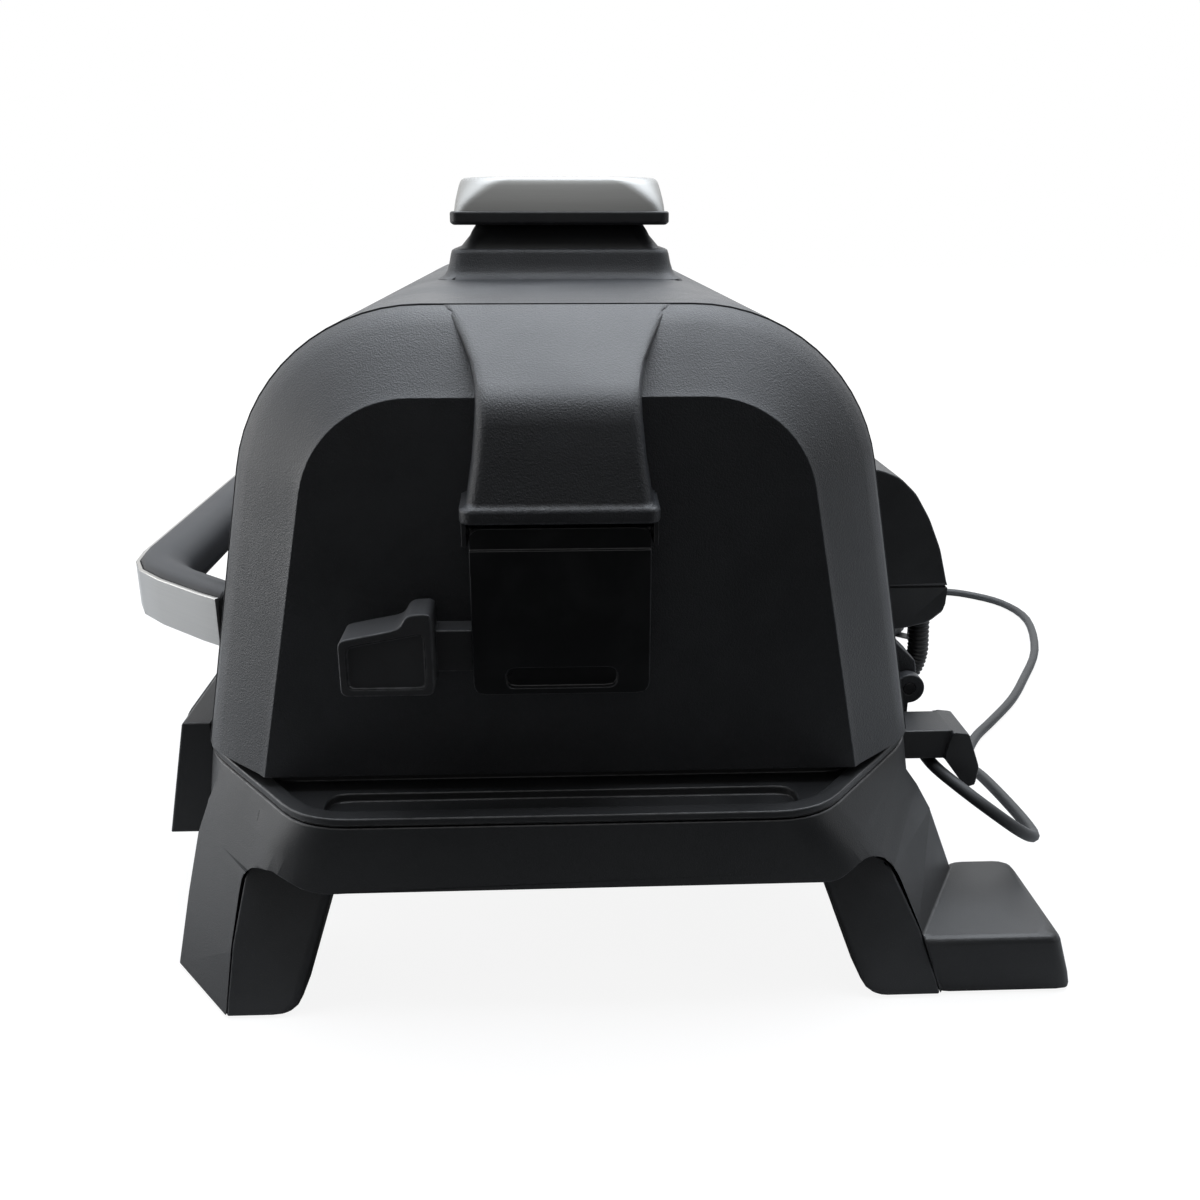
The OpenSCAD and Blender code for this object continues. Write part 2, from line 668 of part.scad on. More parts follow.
// Route of the mains lead from the gland, round the cleat and over the floor to its coil
lead_route = [[110, 169, 70], [122, 169, 70], [150, 169, 70], [180, 169, 70], [200, 168.6, 70],
    [214, 170.3, 69.4], [227, 177.5, 66], [235, 190, 58], [233.5, 206.5, 45.5], [221, 219, 35.5],
    [199, 223, 31.5], [170, 222.5, 30], [140, 223, 26], [112, 226, 18], [86, 235, 9], [62, 246, 4],
    [42, 258, 3], [20, 276, 3], [-12, 301, 3], [-47, 323, 3], [-105, 355, 3], [-173, 376, 3],
    [-216, 371, 3], [-241, 349, 3], [-249, 329, 3], [-246, 308, 3], [-236, 290, 3.2], [-225, 273, 3.6],
    [-218.5, 257, 4], [-217, 245, 4.2], [-217, 233, 4.2]];
lead_path = smooth(lead_route, 2);

module power_cord() {
    color(rubber) loft(sweep(lead_path, disc(cord_r, 8), [0, 0.64, 0.77]));
}

coil_at = [-175, 233];
coil_in = coil_r - 2 * coil_pitch;
layer_z = cord_d + 0.6;

// The coil: two turns in, half a turn up, then out again on top
function coil_point(a) =
    let (
        s = max(0, min(1, (a - 720) / 180)),
        r = a < 720 ? coil_r - coil_pitch * a / 360
            : a < 900 ? coil_in - 2 * sin(180 * s) : coil_in + coil_pitch * (a - 900) / 360,
        h = cord_r + 1.2 + layer_z * s * s * (3 - 2 * s)
    ) [coil_at[0] - r * cos(a), coil_at[1] - r * sin(a), h];
coil_end = coil_point(1530);
coil_path = concat([for (a = [0:15:1530]) coil_point(a)],
    [for (k = [1:4]) coil_end + [8 * k, 0, 0.45 * k]]);
coil_gap = min([for (i = [0:len(coil_path) - 13]) for (j = [i + 12:len(coil_path) - 1])
    norm(coil_path[i] - coil_path[j])]) - cord_d;
plug_at = coil_path[len(coil_path) - 1];
echo(cord_length = run(lead_path) + run(coil_path), least_coil_gap = coil_gap);

module cord_coil() {
    color(rubber) loft(sweep(coil_path, disc(cord_r, 6), [0, 0, 1]));
}

// Strap closed round the coil's turns
module coil_tie() {
    color(soot) translate([coil_at[0], coil_at[1], 0]) rotate([0, 0, 50]) translate([0, -5, 0]) difference() {
        translate([coil_in - 6.5, 0, 0.1]) cube([2 * coil_pitch + 13, 10, layer_z + cord_d + 3.2]);
        translate([coil_in - 5.5, -1, 1.1]) cube([2 * coil_pitch + 11, 12, layer_z + cord_d + 1.2]);
    }
}

module plug_body() {
    color(rubber) translate(plug_at) rotate([0, 90, 0]) {
        cylinder(d1 = cord_d + 2, d2 = 14, h = 24, $fn = 40);
        translate([0, 0, 24]) linear_extrude(26) polygon(soft(rect(-13, -14, plug_at[2] - 0.1, 14), 7, 4));
    }
}

module plug_pins() {
    color(steel) translate(plug_at) rotate([0, 90, 0]) {
        for (y = [-6.35, 6.35]) translate([-3.2, y - 0.75, 50]) cube([6.4, 1.5, 16]);
        translate([-9.5, 0, 50]) cylinder(d = 4.7, h = 18, $fn = 32);
    }
}

module lid_shell() {
    color(charcoal) body() difference() {
        along_x(-sx + 0.7, sx - 0.7) polygon(lid_arch(0));
        along_x(-sx - 1, sx + 1)
            polygon([for (q = lid_arch(lid_wall)) [q[0], q[1] == lid_z ? lid_z - 1 : q[1]]]);
        translate([0, 0, lid_top - 18.7]) cylinder(d = 56, h = 30, $fn = 64);
        translate([96, by - 20, 146]) rotate([-90, 0, 0]) cylinder(d = 12, h = 30, $fn = 40);
    }
}

// Outline of an end cap from its seam, where it lies lower than the lid, to its flat face
cap_step = 0.6;
cap_steps = [[0, 0], [0.16, 0.07], [0.34, 0.22], [0.6, 0.53], [0.9, 0.9], [0.975, 0.975], [1, 1]];

module cap_outer() {
    loft([for (c = cap_steps) at_x(mix(lid_arch(cap_step), face_arch(0), c[1]), sx + cap_depth * c[0])]);
}

module cap_inner() {
    loft([for (c = [[-0.03, 0], [0.3, 0.22], [0.93, 0.96]])
        at_x(lift(mix(lid_arch(lid_wall), face_arch(lid_wall), c[1]), lid_z + 3), sx + cap_depth * c[0])]);
}

module end_cap_left() {
    color(charcoal) body() mirror([1, 0, 0]) difference() {
        cap_outer();
        cap_inner();
    }
}

module end_cap_right() {
    color(charcoal) body() difference() {
        cap_outer();
        cap_inner();
        translate([face_x - 30, 1 - flap_half, flap_z + 2]) cube([60, 2 * flap_half - 2, flap_h]);
        translate([face_x - 30, -flap_half - 3, flap_axis_z - 7]) cube([60, 2 * flap_half + 6, 12]);
    }
}

// The smoke-box hood: rings from its lip up to the lid's top, each with its front edge, the half-width
// there, and the half-width where its flared side meets the end cap
hood_rings = [[-73.7, 28.8, 37, 41], [-68.2, 28.8, 37, 41], [-67.2, 27, 34.5, 41], [-52.7, 24.5, 32, 40.5],
    [-38.7, 22.5, 30.5, 40.5], [-32.7, 20.5, 30.2, 40.5], [-28.2, 17, 30.4, 41], [-24.7, 11.5, 31, 41.5],
    [-18.7, 0.5, 33, 43], [-11.7, -12, 37, 44.5], [-5.7, -23, 41, 45.5], [-0.5, -33.5, 45.5, 46.5]];

function hood_ring(h, t) =
    let (
        f = face_x + h[1] - t,
        w = h[2] - t,
        v = h[3] - t,
        back = sx - 8,
        turn = 5,
        side = [for (k = [0:4]) let (s = k / 4) [f - turn - (f - turn - back) * s,
            w + (v - w) * s * s + (v - w) * 0.9 * s * (1 - s) * 0.3]],
        nose = [for (k = [0:4]) let (a = 90 * k / 4) [f - turn + turn * sin(a), w - turn + turn * cos(a)]],
        half = concat([for (k = [4:-1:1]) side[k]], nose),
        far = [for (i = [len(half) - 1:-1:0]) half[i]],
        near = [for (q = half) [q[0], -q[1]]]
    ) at_z(concat(far, near), lid_top + h[0] - t * 0.6);

module smoke_hood() {
    color(charcoal) body() difference() {
        loft([for (h = hood_rings) hood_ring(h, 0)]);
        loft([for (i = [0:len(hood_rings) - 2]) [for (q = hood_ring(hood_rings[i], lid_wall))
            [q[0], q[1], i == 0 ? flap_axis_z - 0.5 : q[2]]]]);
        cap_outer();
        translate([sx - 30, -60, lid_top - 100]) cube([30, 120, 120]);
    }
}

function liner_arch(t) =
    arch(lid_half - liner_gap - t, liner_z, roof_z + 1.2 - t, lid_draft, lid_r - liner_gap - t);

module lid_liner() {
    color(steel) body() difference() {
        along_x(9 - sx, sx - 9) polygon(liner_arch(0));
        along_x(10.2 - sx, sx - 10.2)
            polygon([for (q = liner_arch(1.2)) [q[0], q[1] == liner_z ? liner_z - 9 : q[1]]]);
        translate([0, 0, roof_z - 8]) cylinder(d = 40, h = 20, $fn = 64);
        translate([sx - 20, -30, flap_z - 6]) cube([30, 60, 60]);
    }
}

module lid_seal() {
    color(rubber) body() translate([0, 0, rest_z + 0.3]) linear_extrude(liner_z - rest_z - 0.3) difference() {
        polygon(soft(rect(5 - sx, 3.5 - lid_half, sx - 5, lid_half - 3.5), 14, 4));
        polygon(soft(rect(9.4 - sx, 13.5 - lid_half, sx - 9.4, lid_half - 13.5), 11, 4));
    }
}

// Rounded rectangle of the vent tower at a height
tower_y = 2.5;
function tower(e, z, r = 10) = at_z(soft(rect(-cap_half_x - e, tower_y - cap_half_y - e, cap_half_x + e,
    tower_y + cap_half_y + e), r, 7), z);
neck_top = lid_top + 15.2;
cap_z = total_h - 17.3;

module vent_neck() {
    color(charcoal) body() difference() {
        loft([tower(8.5, lid_top - 3), tower(7, lid_top), tower(4.2, lid_top + 1.6),
            tower(2.6, lid_top + 4), tower(1.4, lid_top + 8), tower(0.5, lid_top + 12.6),
            tower(-0.1, neck_top - 0.8), tower(-1.4, neck_top)]);
        loft([tower(-4, lid_top - 4), tower(-4, neck_top + 1)]);
        along_x(-sx, sx) polygon(lid_arch(0));
    }
}

module vent_collar() {
    color(soot) body() difference() {
        loft([tower(-4, lid_top + 9), tower(-4, neck_top), tower(-6.4, neck_top + 3),
            tower(-9.4, neck_top + 6.6), tower(-10.6, neck_top + 9), tower(-12.6, cap_z - 6.9)]);
        loft([tower(-16, lid_top + 8), tower(-16, total_h)]);
    }
}

module cap_rim() {
    color(soot) body() difference() {
        loft([tower(-1.6, cap_z - 6.9, 5), tower(0, cap_z - 5.6, 6), tower(0, cap_z - 0.7, 6),
            tower(-0.7, cap_z, 6)]);
        loft([tower(-17, cap_z - 12), tower(-17, total_h)]);
    }
}

module steel_cap() {
    color(steel) body() difference() {
        loft([tower(-2.2, cap_z, 5), tower(-2.6, cap_z + 5.3, 8), tower(-3.4, cap_z + 10.3, 12),
            tower(-4.8, total_h - 3.6, 14), tower(-6.8, total_h - 1.6, 15), tower(-9.6, total_h - 0.4, 15),
            tower(-13, total_h, 15)]);
        loft([tower(-3.8, cap_z - 2, 5), tower(-4.4, cap_z + 8, 11), tower(-6.4, total_h - 4.6, 14),
            tower(-12, total_h - 1.6, 14)]);
    }
}

// Path of the handle: a straight bar with slanting ends that reach the lid
handle_y = -handle_reach + 12;
handle_turn = [[sx - 12, -lid_half + 16], [sx - 19, -lid_half + 7], [handle_half + 37, handle_y + 18],
    [handle_half + 24, handle_y + 6.4], [handle_half + 13, handle_y + 1.6], [handle_half, handle_y]];
handle_path = concat([for (q = handle_turn) [-q[0], q[1], handle_z]],
    [for (i = [5:-1:0]) [handle_turn[i][0], handle_turn[i][1], handle_z]]);
grip_plan = soft([[-13.5, -10], [13.5, -10], [13.5, 3], [7, 12], [-7, 12], [-13.5, 3]], 4.5, 3);
grip_sec = [for (q = grip_plan) [q[1], q[0]]];

module handle_bar(sec) {
    difference() {
        loft(sweep(handle_path, sec, [0, 0, 1]));
        along_x(-sx - 30, sx + 30) polygon(lid_arch(0));
    }
}

module handle_grip() {
    color(grey) body() handle_bar([for (q = grip_sec) [-q[0], q[1]]]);
}

module handle_strip() {
    color(steel) body() handle_bar(soft([[10, -strip_h / 2], [12, -strip_h / 2], [12, strip_h / 2],
        [10, strip_h / 2]], 0.5, 2));
}

rear_sec = [[150, 114], [180, 117.5], [191.5, 120.5], [199, 127], [199.5, 140], [194, 160], [187, 176],
    [179, 189], [170, 197.5], [160, 201.5], [130, 204]];
conduit_x = 136;

module rear_housing() {
    color(charcoal) body() difference() {
        along_x(58, 150) polygon(soft(rear_sec, 2.5, 2));
        along_x(61, 147) polygon(inset(rear_sec, 2.6));
        along_x(40, 170) polygon(lid_arch(0));
        translate([conduit_x, 190, 100]) cylinder(d = 12, h = 32, $fn = 40);
        difference() {
            translate([50, 150, 139.4]) cube([110, 70, 1.4]);
            along_x(58.9, 149.1) polygon(inset(rear_sec, 0.9));
        }
    }
}

// Ribbed conduit between the lid's rear housing and the base
socket_z = 80.5;
conduit_route = [[conduit_x, 190, 131], [conduit_x, 190.4, 122], [conduit_x, 191.2, 110],
    [conduit_x, 191.5, 98.5], [conduit_x, 189.1, 89.5], [conduit_x, 182.5, 82.9],
    [conduit_x, 173.5, socket_z], [conduit_x, by + 8.4, socket_z]];
conduit_path = smooth(conduit_route, 5);
ribs = 34;
hose_path = [for (i = [0:2 * ribs]) let (f = i / (2 * ribs) * (len(conduit_path) - 1), k = min(floor(f),
    len(conduit_path) - 2)) conduit_path[k] + (conduit_path[k + 1] - conduit_path[k]) * (f - k)];

module wiring_conduit() {
    color(soot) body() difference() {
        loft([for (i = [0:2 * ribs]) let (t = way(hose_path, i), s = [1, 0, 0], u = cross(t, s),
            r = i % 2 == 0 ? 4.7 : 5.6) [for (q = disc(r, 8)) hose_path[i] + q[0] * s + q[1] * u]]);
        loft([for (i = [0:4:2 * ribs]) let (t = way(hose_path, i), s = [1, 0, 0], u = cross(t, s),
            e = i == 0 ? -1 : i == 2 * ribs ? 1 : 0)
            [for (q = disc(3.4, 8)) hose_path[i] + e * t + q[0] * s + q[1] * u]]);
    }
}

module conduit_socket() {
    color(soot) body() translate([conduit_x, by, socket_z]) rotate([-90, 0, 0]) difference() {
        cylinder(d = 15, h = 8, $fn = 48);
        translate([0, 0, -1]) cylinder(d = 7, h = 12, $fn = 40);
    }
}

element_z = roof_z - 40.3;
guard_z = roof_z - 52.3;
fan_z = roof_z - 24.3;
element_plan = [[-24, 112], [-24, 106], [-24, 101], [-60, 94], [-130, 94], [-158, 72], [-162, 0], [-158, -72],
    [-130, -94], [0, -96], [130, -94], [158, -72], [162, 0], [158, 72], [130, 94], [60, 94], [24, 101],
    [24, 106], [24, 112]];
element_route = [for (q = element_plan) [q[0], q[1], element_z]];

module heating_element() {
    color([0.35, 0.33, 0.32]) body() loft(sweep(smooth(element_route, 3), disc(3.2, 8), [0, 0, 1]));
}

// Hangers that hold the heating tube under the liner's roof
module element_clips() {
    color(steel) body() {
        for (x = [-1, 1]) difference() {
            translate([x * 162 - 5, -8, element_z - 5]) cube([10, 16, roof_z - element_z + 5]);
            translate([x * 162 - 3.6, -9, element_z - 3.6]) cube([7.2, 18, 7.2]);
            translate([x * 162 - 6, -6, element_z + 5]) cube([12, 12, roof_z - element_z - 9.3]);
        }
        translate([-34, 112.4, element_z - 8]) cube([68, 4.2, 10]);
    }
}

module fan_guard() {
    color(steel) body() {
        difference() {
            translate([0, 0, guard_z]) linear_extrude(1.5) polygon(soft(rect(-140, -84, 140, 84), 24, 4));
            for (i = [-8:8]) for (y = [-40, 40])
                translate([i * 15 - 4, y - 32, guard_z - 6]) cube([8, 64, 12]);
        }
        for (x = [-1, 1]) for (y = [-1, 1]) translate([x * 122, y * 50, guard_z + 1.5])
            cylinder(d = 6, h = roof_z - guard_z - 1.5, $fn = 32);
    }
}

module motor_plate() {
    color(steel) body() difference() {
        translate([0, 0, lid_top]) linear_extrude(2) polygon(soft(rect(-48, -42, 48, 42), 8, 4));
        translate([0, 0, lid_top - 8.7]) cylinder(d = 22, h = 20, $fn = 48);
    }
}

module fan_motor() {
    color(grey) body() difference() {
        union() {
            translate([0, 0, lid_top + 2]) cylinder(d = 46, h = 17, $fn = 64);
            translate([0, 0, lid_top - 4]) cylinder(d = 18, h = 10, $fn = 48);
        }
        translate([0, 0, lid_top - 18.7]) cylinder(d = fan_shaft + fan_clear, h = 30.7, $fn = 48);
    }
}

module fan_wheel() {
    color(steel) body() {
        translate([0, 0, fan_z + 2]) cylinder(d = fan_shaft, h = lid_top + 9 - fan_z, $fn = 48);
        translate([0, 0, fan_z]) cylinder(d = 18, h = 17, $fn = 48);
        translate([0, 0, fan_z + 15.6]) cylinder(r = fan_r, h = 1.4, $fn = 96);
        for (k = [0:blades - 1]) rotate([0, 0, 360 / blades * k]) translate([7, -0.7, fan_z + 2])
            cube([fan_r - 9, 1.4, 14]);
    }
}

// Basket for the pellets, open towards the flap
box_z = flap_z - 24;

module smoke_box() {
    color(steel) body() difference() {
        union() {
            translate([sx - 4, -34, box_z]) cube([34, 68, 86]);
            for (y = [-44, 33]) translate([cap_back - 5.4, y, box_z]) cube([5.4, 11, 78]);
        }
        translate([sx - 2.8, -32.8, box_z + 1.2]) cube([31.6, 65.6, 100]);
        translate([sx + 20, -32.8, box_z + 42]) cube([30, 65.6, 60]);
        for (i = [-3:3]) translate([sx - 10, i * 9 - 2, box_z + 18]) cube([10, 4, 56]);
        translate([sx + 12, -60, box_z + 9]) rotate([-90, 0, 0]) cylinder(d = 8.4, h = 120, $fn = 40);
    }
}

module igniter_rod() {
    color([0.35, 0.33, 0.32]) body() translate([sx + 12, -48, box_z + 9]) rotate([-90, 0, 0]) {
        cylinder(d = 8, h = 96, $fn = 40);
        cylinder(d = 14, h = 9, $fn = 40);
    }
}

// Ears behind the hood's lip that carry the flap's pin
module flap_brackets() {
    color(soot) body() difference() {
        for (m = [0, 1]) mirror([0, m, 0]) {
            translate([cap_back, flap_half + 0.8, flap_axis_z - 5])
                cube([flap_axis_x + 5 - cap_back, 1.8, 9.4]);
            translate([cap_back - 2.4, flap_half + 0.8, flap_axis_z - 5]) cube([2.4, 9.2, 9.4]);
        }
        translate([flap_axis_x, -60, flap_axis_z]) rotate([-90, 0, 0])
            cylinder(d = flap_pin_d, h = 120, $fn = 40);
    }
}

module flap_pin() {
    color(steel) body() translate([flap_axis_x, -flap_half - 2.6, flap_axis_z]) rotate([-90, 0, 0])
        cylinder(d = flap_pin_d, h = 2 * flap_half + 5.2, $fn = 40);
}

// Pellet flap: a shallow box with a finger scoop, hung from its top edge
module smoke_flap() {
    color(soot) body() difference() {
        union() {
            difference() {
                translate([flap_face - 22.5, 0, 0]) rotate([90, 0, 90]) linear_extrude(22.5)
                    polygon(soft(rect(-flap_half, flap_z, flap_half, flap_axis_z + 2), 5, 4));
                translate([flap_face - 30, 0, 0]) rotate([90, 0, 90]) linear_extrude(26.5)
                    polygon(soft(rect(-flap_half + 2.5, flap_z + 2.5, flap_half - 2.5, flap_axis_z + 29.5),
                        4, 4));
            }
            translate([flap_axis_x, -flap_half, flap_axis_z]) rotate([-90, 0, 0])
                cylinder(r = 4.3, h = 2 * flap_half, $fn = 48);
        }
        translate([flap_axis_x, -60, flap_axis_z]) rotate([-90, 0, 0])
            cylinder(d = flap_pin_d + flap_clear, h = 120, $fn = 48);
        translate([flap_face - 0.7, -60, flap_axis_z - 6.5]) cube([4, 120, 20]);
        translate([flap_face - 2.4, 0, 0]) rotate([90, 0, 90]) linear_extrude(6)
            polygon(soft(rect(-21.5, flap_z + 2.6, 21.5, flap_z + 11), 4, 4));
    }
}

// Finger tab beside the flap, on an arm from the flap's side
module flap_tab() {
    color(grey) body() translate([0, 34 - flap_half, flap_z]) {
        translate([flap_face - 16, -51, 8]) cube([11, 17, 17]);
        difference() {
            translate([flap_face - 14, 0, 0]) rotate([90, 0, 90]) linear_extrude(19.4)
                polygon(soft([[-84, 2.4], [-48.5, 2.4], [-48.5, 35.5], [-58, 35], [-60.5, 29.5], [-84, 25]],
                    3, 4));
            translate([flap_face + 4.6, 0, 0]) rotate([90, 0, 90]) linear_extrude(6)
                polygon(soft([[-81, 5.4], [-51.5, 5.4], [-51.5, 27.6], [-81, 22.4]], 3, 4));
        }
    }
}

module base_screws() {
    color(steel) body() for (x = [-200, 200]) for (y = [-128, 130])
        translate([x, y, 42.4]) cylinder(d = 8, h = 1.6, $fn = 32);
}

base_skirt();
base_rim();
leg_covers();
foot_pads();
bottom_pan();
cooking_well();
grill_grate();
grease_tray();
control_housing();
control_face();
display_lens();
control_board();
dial();
dial_bezel();
button_temp_up();
button_temp_down();
button_time_up();
button_time_down();
button_smoke();
button_start();
hinge_brackets();
hinge_pins();
lid_knuckles();
cord_cleats();
cord_gland();
power_cord();
cord_coil();
coil_tie();
plug_body();
plug_pins();
lid_shell();
end_cap_right();
end_cap_left();
smoke_hood();
lid_liner();
lid_seal();
vent_neck();
vent_collar();
cap_rim();
steel_cap();
handle_grip();
handle_strip();
rear_housing();
wiring_conduit();
conduit_socket();
heating_element();
element_clips();
fan_guard();
fan_motor();
motor_plate();
fan_wheel();
smoke_box();
igniter_rod();
flap_brackets();
flap_pin();
smoke_flap();
flap_tab();
base_screws();
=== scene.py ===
# %% [markdown]
# # An electric outdoor grill
# The grill is a moulded base on splayed legs, a domed lid on two rear hinges, a smoke box on the
# lid's right-hand end and a vent tower with a steel cap. The solids come from the imported frame in
# metres. This lesson gives them edges, finishes and light.

import json
import math

import bmesh
import bpy
from mathutils import Matrix, Vector
from mathutils.bvhtree import BVHTree
from mathutils.geometry import intersect_point_line


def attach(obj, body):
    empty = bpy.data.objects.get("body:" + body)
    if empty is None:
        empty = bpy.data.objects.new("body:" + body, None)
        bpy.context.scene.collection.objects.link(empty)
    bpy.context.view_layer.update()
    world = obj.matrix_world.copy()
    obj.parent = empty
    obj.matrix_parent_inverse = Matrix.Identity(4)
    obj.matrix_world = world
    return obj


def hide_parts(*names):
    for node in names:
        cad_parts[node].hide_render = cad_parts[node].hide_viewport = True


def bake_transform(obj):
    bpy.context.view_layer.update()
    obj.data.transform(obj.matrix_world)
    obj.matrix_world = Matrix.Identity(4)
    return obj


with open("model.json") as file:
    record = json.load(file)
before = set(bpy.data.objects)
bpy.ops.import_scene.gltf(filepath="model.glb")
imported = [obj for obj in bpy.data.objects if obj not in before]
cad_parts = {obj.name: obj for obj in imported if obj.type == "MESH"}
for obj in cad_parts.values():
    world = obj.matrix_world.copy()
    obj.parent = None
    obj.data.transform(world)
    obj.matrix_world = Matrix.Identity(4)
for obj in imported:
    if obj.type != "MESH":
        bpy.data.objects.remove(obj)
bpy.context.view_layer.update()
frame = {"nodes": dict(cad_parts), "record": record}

# %% [markdown]
# ## Units and objects
# The frame is in metres, and most sizes below are in millimetres. Each piece stays at the origin
# and has its place in its points, as the solids do.

# %% Units and objects
MM = 0.001
MM_PER_M = 1000.0
scene = bpy.context.scene


def shown(name, data):
    """A new object in the scene that holds the data."""
    thing = bpy.data.objects.new(name, data)
    scene.collection.objects.link(thing)
    return thing


def meshed(name, bm):
    """A mesh with the faces of a bmesh, which is used up."""
    mesh = bpy.data.meshes.new(name)
    bm.to_mesh(mesh)
    bm.free()
    return mesh


# %% [markdown]
# ## The camera
# The picture looks square on to the smoke-box end, from close by and a little above the lid. Close
# up, the near end looks much larger than the far one, so the camera's distance matters as much as
# its angle. Its three axes are written out as columns, the plainest way to place it exactly.

# %% Camera
CAMERA_AT = (0.705, -0.011, 0.324)
YAW = math.radians(2.26)
TILT = math.radians(18.78)
LENS, SENSOR, NEAREST = 34.5, 36.0, 0.01
ahead = Vector((-math.cos(YAW), math.sin(YAW), 0.0))
right = Vector((math.sin(YAW), math.cos(YAW), 0.0))
look = ahead * math.cos(TILT) - Vector((0.0, 0.0, math.sin(TILT)))
up = (-look).cross(right)
camera = shown("camera", bpy.data.cameras.new("camera"))
camera.data.lens = LENS
camera.data.sensor_width = SENSOR
camera.data.clip_start = NEAREST
axes = Matrix((right, up, -look)).transposed().to_4x4()
camera.matrix_world = Matrix.Translation(CAMERA_AT) @ axes
scene.camera = camera
scene.view_settings.view_transform = "Standard"
print("camera looks along", [round(c, 3) for c in look])

# %% [markdown]
# ## The mains lead
# A mains lead is one length of round flexible cable. It leaves the gland behind the base, passes
# round the right-hand cleat, comes down to the ground and ends in a tied coil and a plug, out of
# sight. One curve with a round bevel follows the route of the solid, so nothing is fitted by eye.

# %% Route of the lead
CORD_D = 6.0
LEAD_ROUTE = [
    (110, 169, 70), (122, 169, 70), (150, 169, 70), (180, 169, 70), (200, 168.6, 70),
    (214, 170.3, 69.4), (227, 177.5, 66), (235, 190, 58), (233.5, 206.5, 45.5), (221, 219, 35.5),
    (199, 223, 31.5), (170, 222.5, 30), (140, 223, 26), (112, 226, 18), (86, 235, 9), (62, 246, 4),
    (42, 258, 3), (20, 276, 3), (-12, 301, 3), (-47, 323, 3), (-105, 355, 3), (-173, 376, 3),
    (-216, 371, 3), (-241, 349, 3), (-249, 329, 3), (-246, 308, 3), (-236, 290, 3.2),
    (-225, 273, 3.6), (-218.5, 257, 4), (-217, 245, 4.2), (-217, 233, 4.2),
]
LEAD_STEPS = 4
COIL_AT, COIL_R, COIL_PITCH = (-175.0, 233.0), 42.0, 6.8
COIL_LIFT, LAYER_GAP, CROSSING = 1.2, 0.6, 2.0
# angles in degrees: the turns inwards, the climb to the upper layer, and the whole coil
COIL_IN, COIL_CLIMB, COIL_END, COIL_STEP = 720, 180, 1530, 10
TAIL, TAIL_POINTS = Vector((8.0, 0.0, 0.45)), 4


def eased(points, steps):
    """A smooth curve through points, with the same number of steps in each span."""
    p = [Vector(q) for q in points]
    curve = []
    for i in range(len(p) - 1):
        a, b, c, d = p[max(i - 1, 0)], p[i], p[i + 1], p[min(i + 2, len(p) - 1)]
        for j in range(steps):
            s = j / steps
            curve.append(0.5 * (2 * b + (c - a) * s + (2 * a - 5 * b + 4 * c - d) * s * s
                                + (3 * b - a - 3 * c + d) * s ** 3))
    return curve + [p[-1]]


def coil_point(turn):
    """A point of the coil: two turns inwards, half a turn up, then outwards again on top."""
    inner = COIL_R - COIL_PITCH * COIL_IN / 360
    s = max(0.0, min(1.0, (turn - COIL_IN) / COIL_CLIMB))
    if turn < COIL_IN:
        r = COIL_R - COIL_PITCH * turn / 360
    elif turn < COIL_IN + COIL_CLIMB:
        r = inner - CROSSING * math.sin(math.pi * s)
    else:
        r = inner + COIL_PITCH * (turn - COIL_IN - COIL_CLIMB) / 360
    h = CORD_D / 2 + COIL_LIFT + (CORD_D + LAYER_GAP) * s * s * (3 - 2 * s)
    a = math.radians(turn)
    return Vector((COIL_AT[0] - r * math.cos(a), COIL_AT[1] - r * math.sin(a), h))


coil = [coil_point(t) for t in range(0, COIL_END + 1, COIL_STEP)]
tail = [coil[-1] + TAIL * k for k in range(1, TAIL_POINTS + 1)]
lead_line = [q * MM for q in eased(LEAD_ROUTE, LEAD_STEPS) + coil[1:] + tail]


# %% The lead as one curve
def round_cord(name, line, radius):
    """One open spline with a round bevel; its points carry the radius, so its box is right."""
    data = bpy.data.curves.new(name, "CURVE")
    data.dimensions = "3D"
    spline = data.splines.new("POLY")
    spline.points.add(len(line) - 1)
    for point, spot in zip(spline.points, line):
        point.co = (*spot, 1.0)
        point.radius = radius
    spline.use_smooth = True
    data.bevel_depth = 1.0
    data.bevel_resolution = 3
    data.use_fill_caps = True
    return shown(name, data)


mains_lead = round_cord("mains_lead", lead_line, CORD_D / 2 * MM)
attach(mains_lead, "base")
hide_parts("power_cord", "cord_coil")

# %% [markdown]
# ## The wiring conduit
# The wires to the lid run in a ribbed plastic hose, with one end fixed to the base and the other to
# the lid. The ribs are swept along the solid's route.

# %% Ribbed hose
HOSE_ROUTE = [(136, 180.5, 131), (136, 180.9, 122), (136, 181.7, 110), (136, 182, 98.5),
              (136, 179.6, 89.5), (136, 173, 82.9), (136, 164, 80.5), (136, 160.4, 80.5)]
HOSE_STEPS = 8
HOSE_LOW, HOSE_HIGH = 4.6, 5.6
HOSE_RIBS, RIB_STEPS, HOSE_SIDES = 34, 6, 20


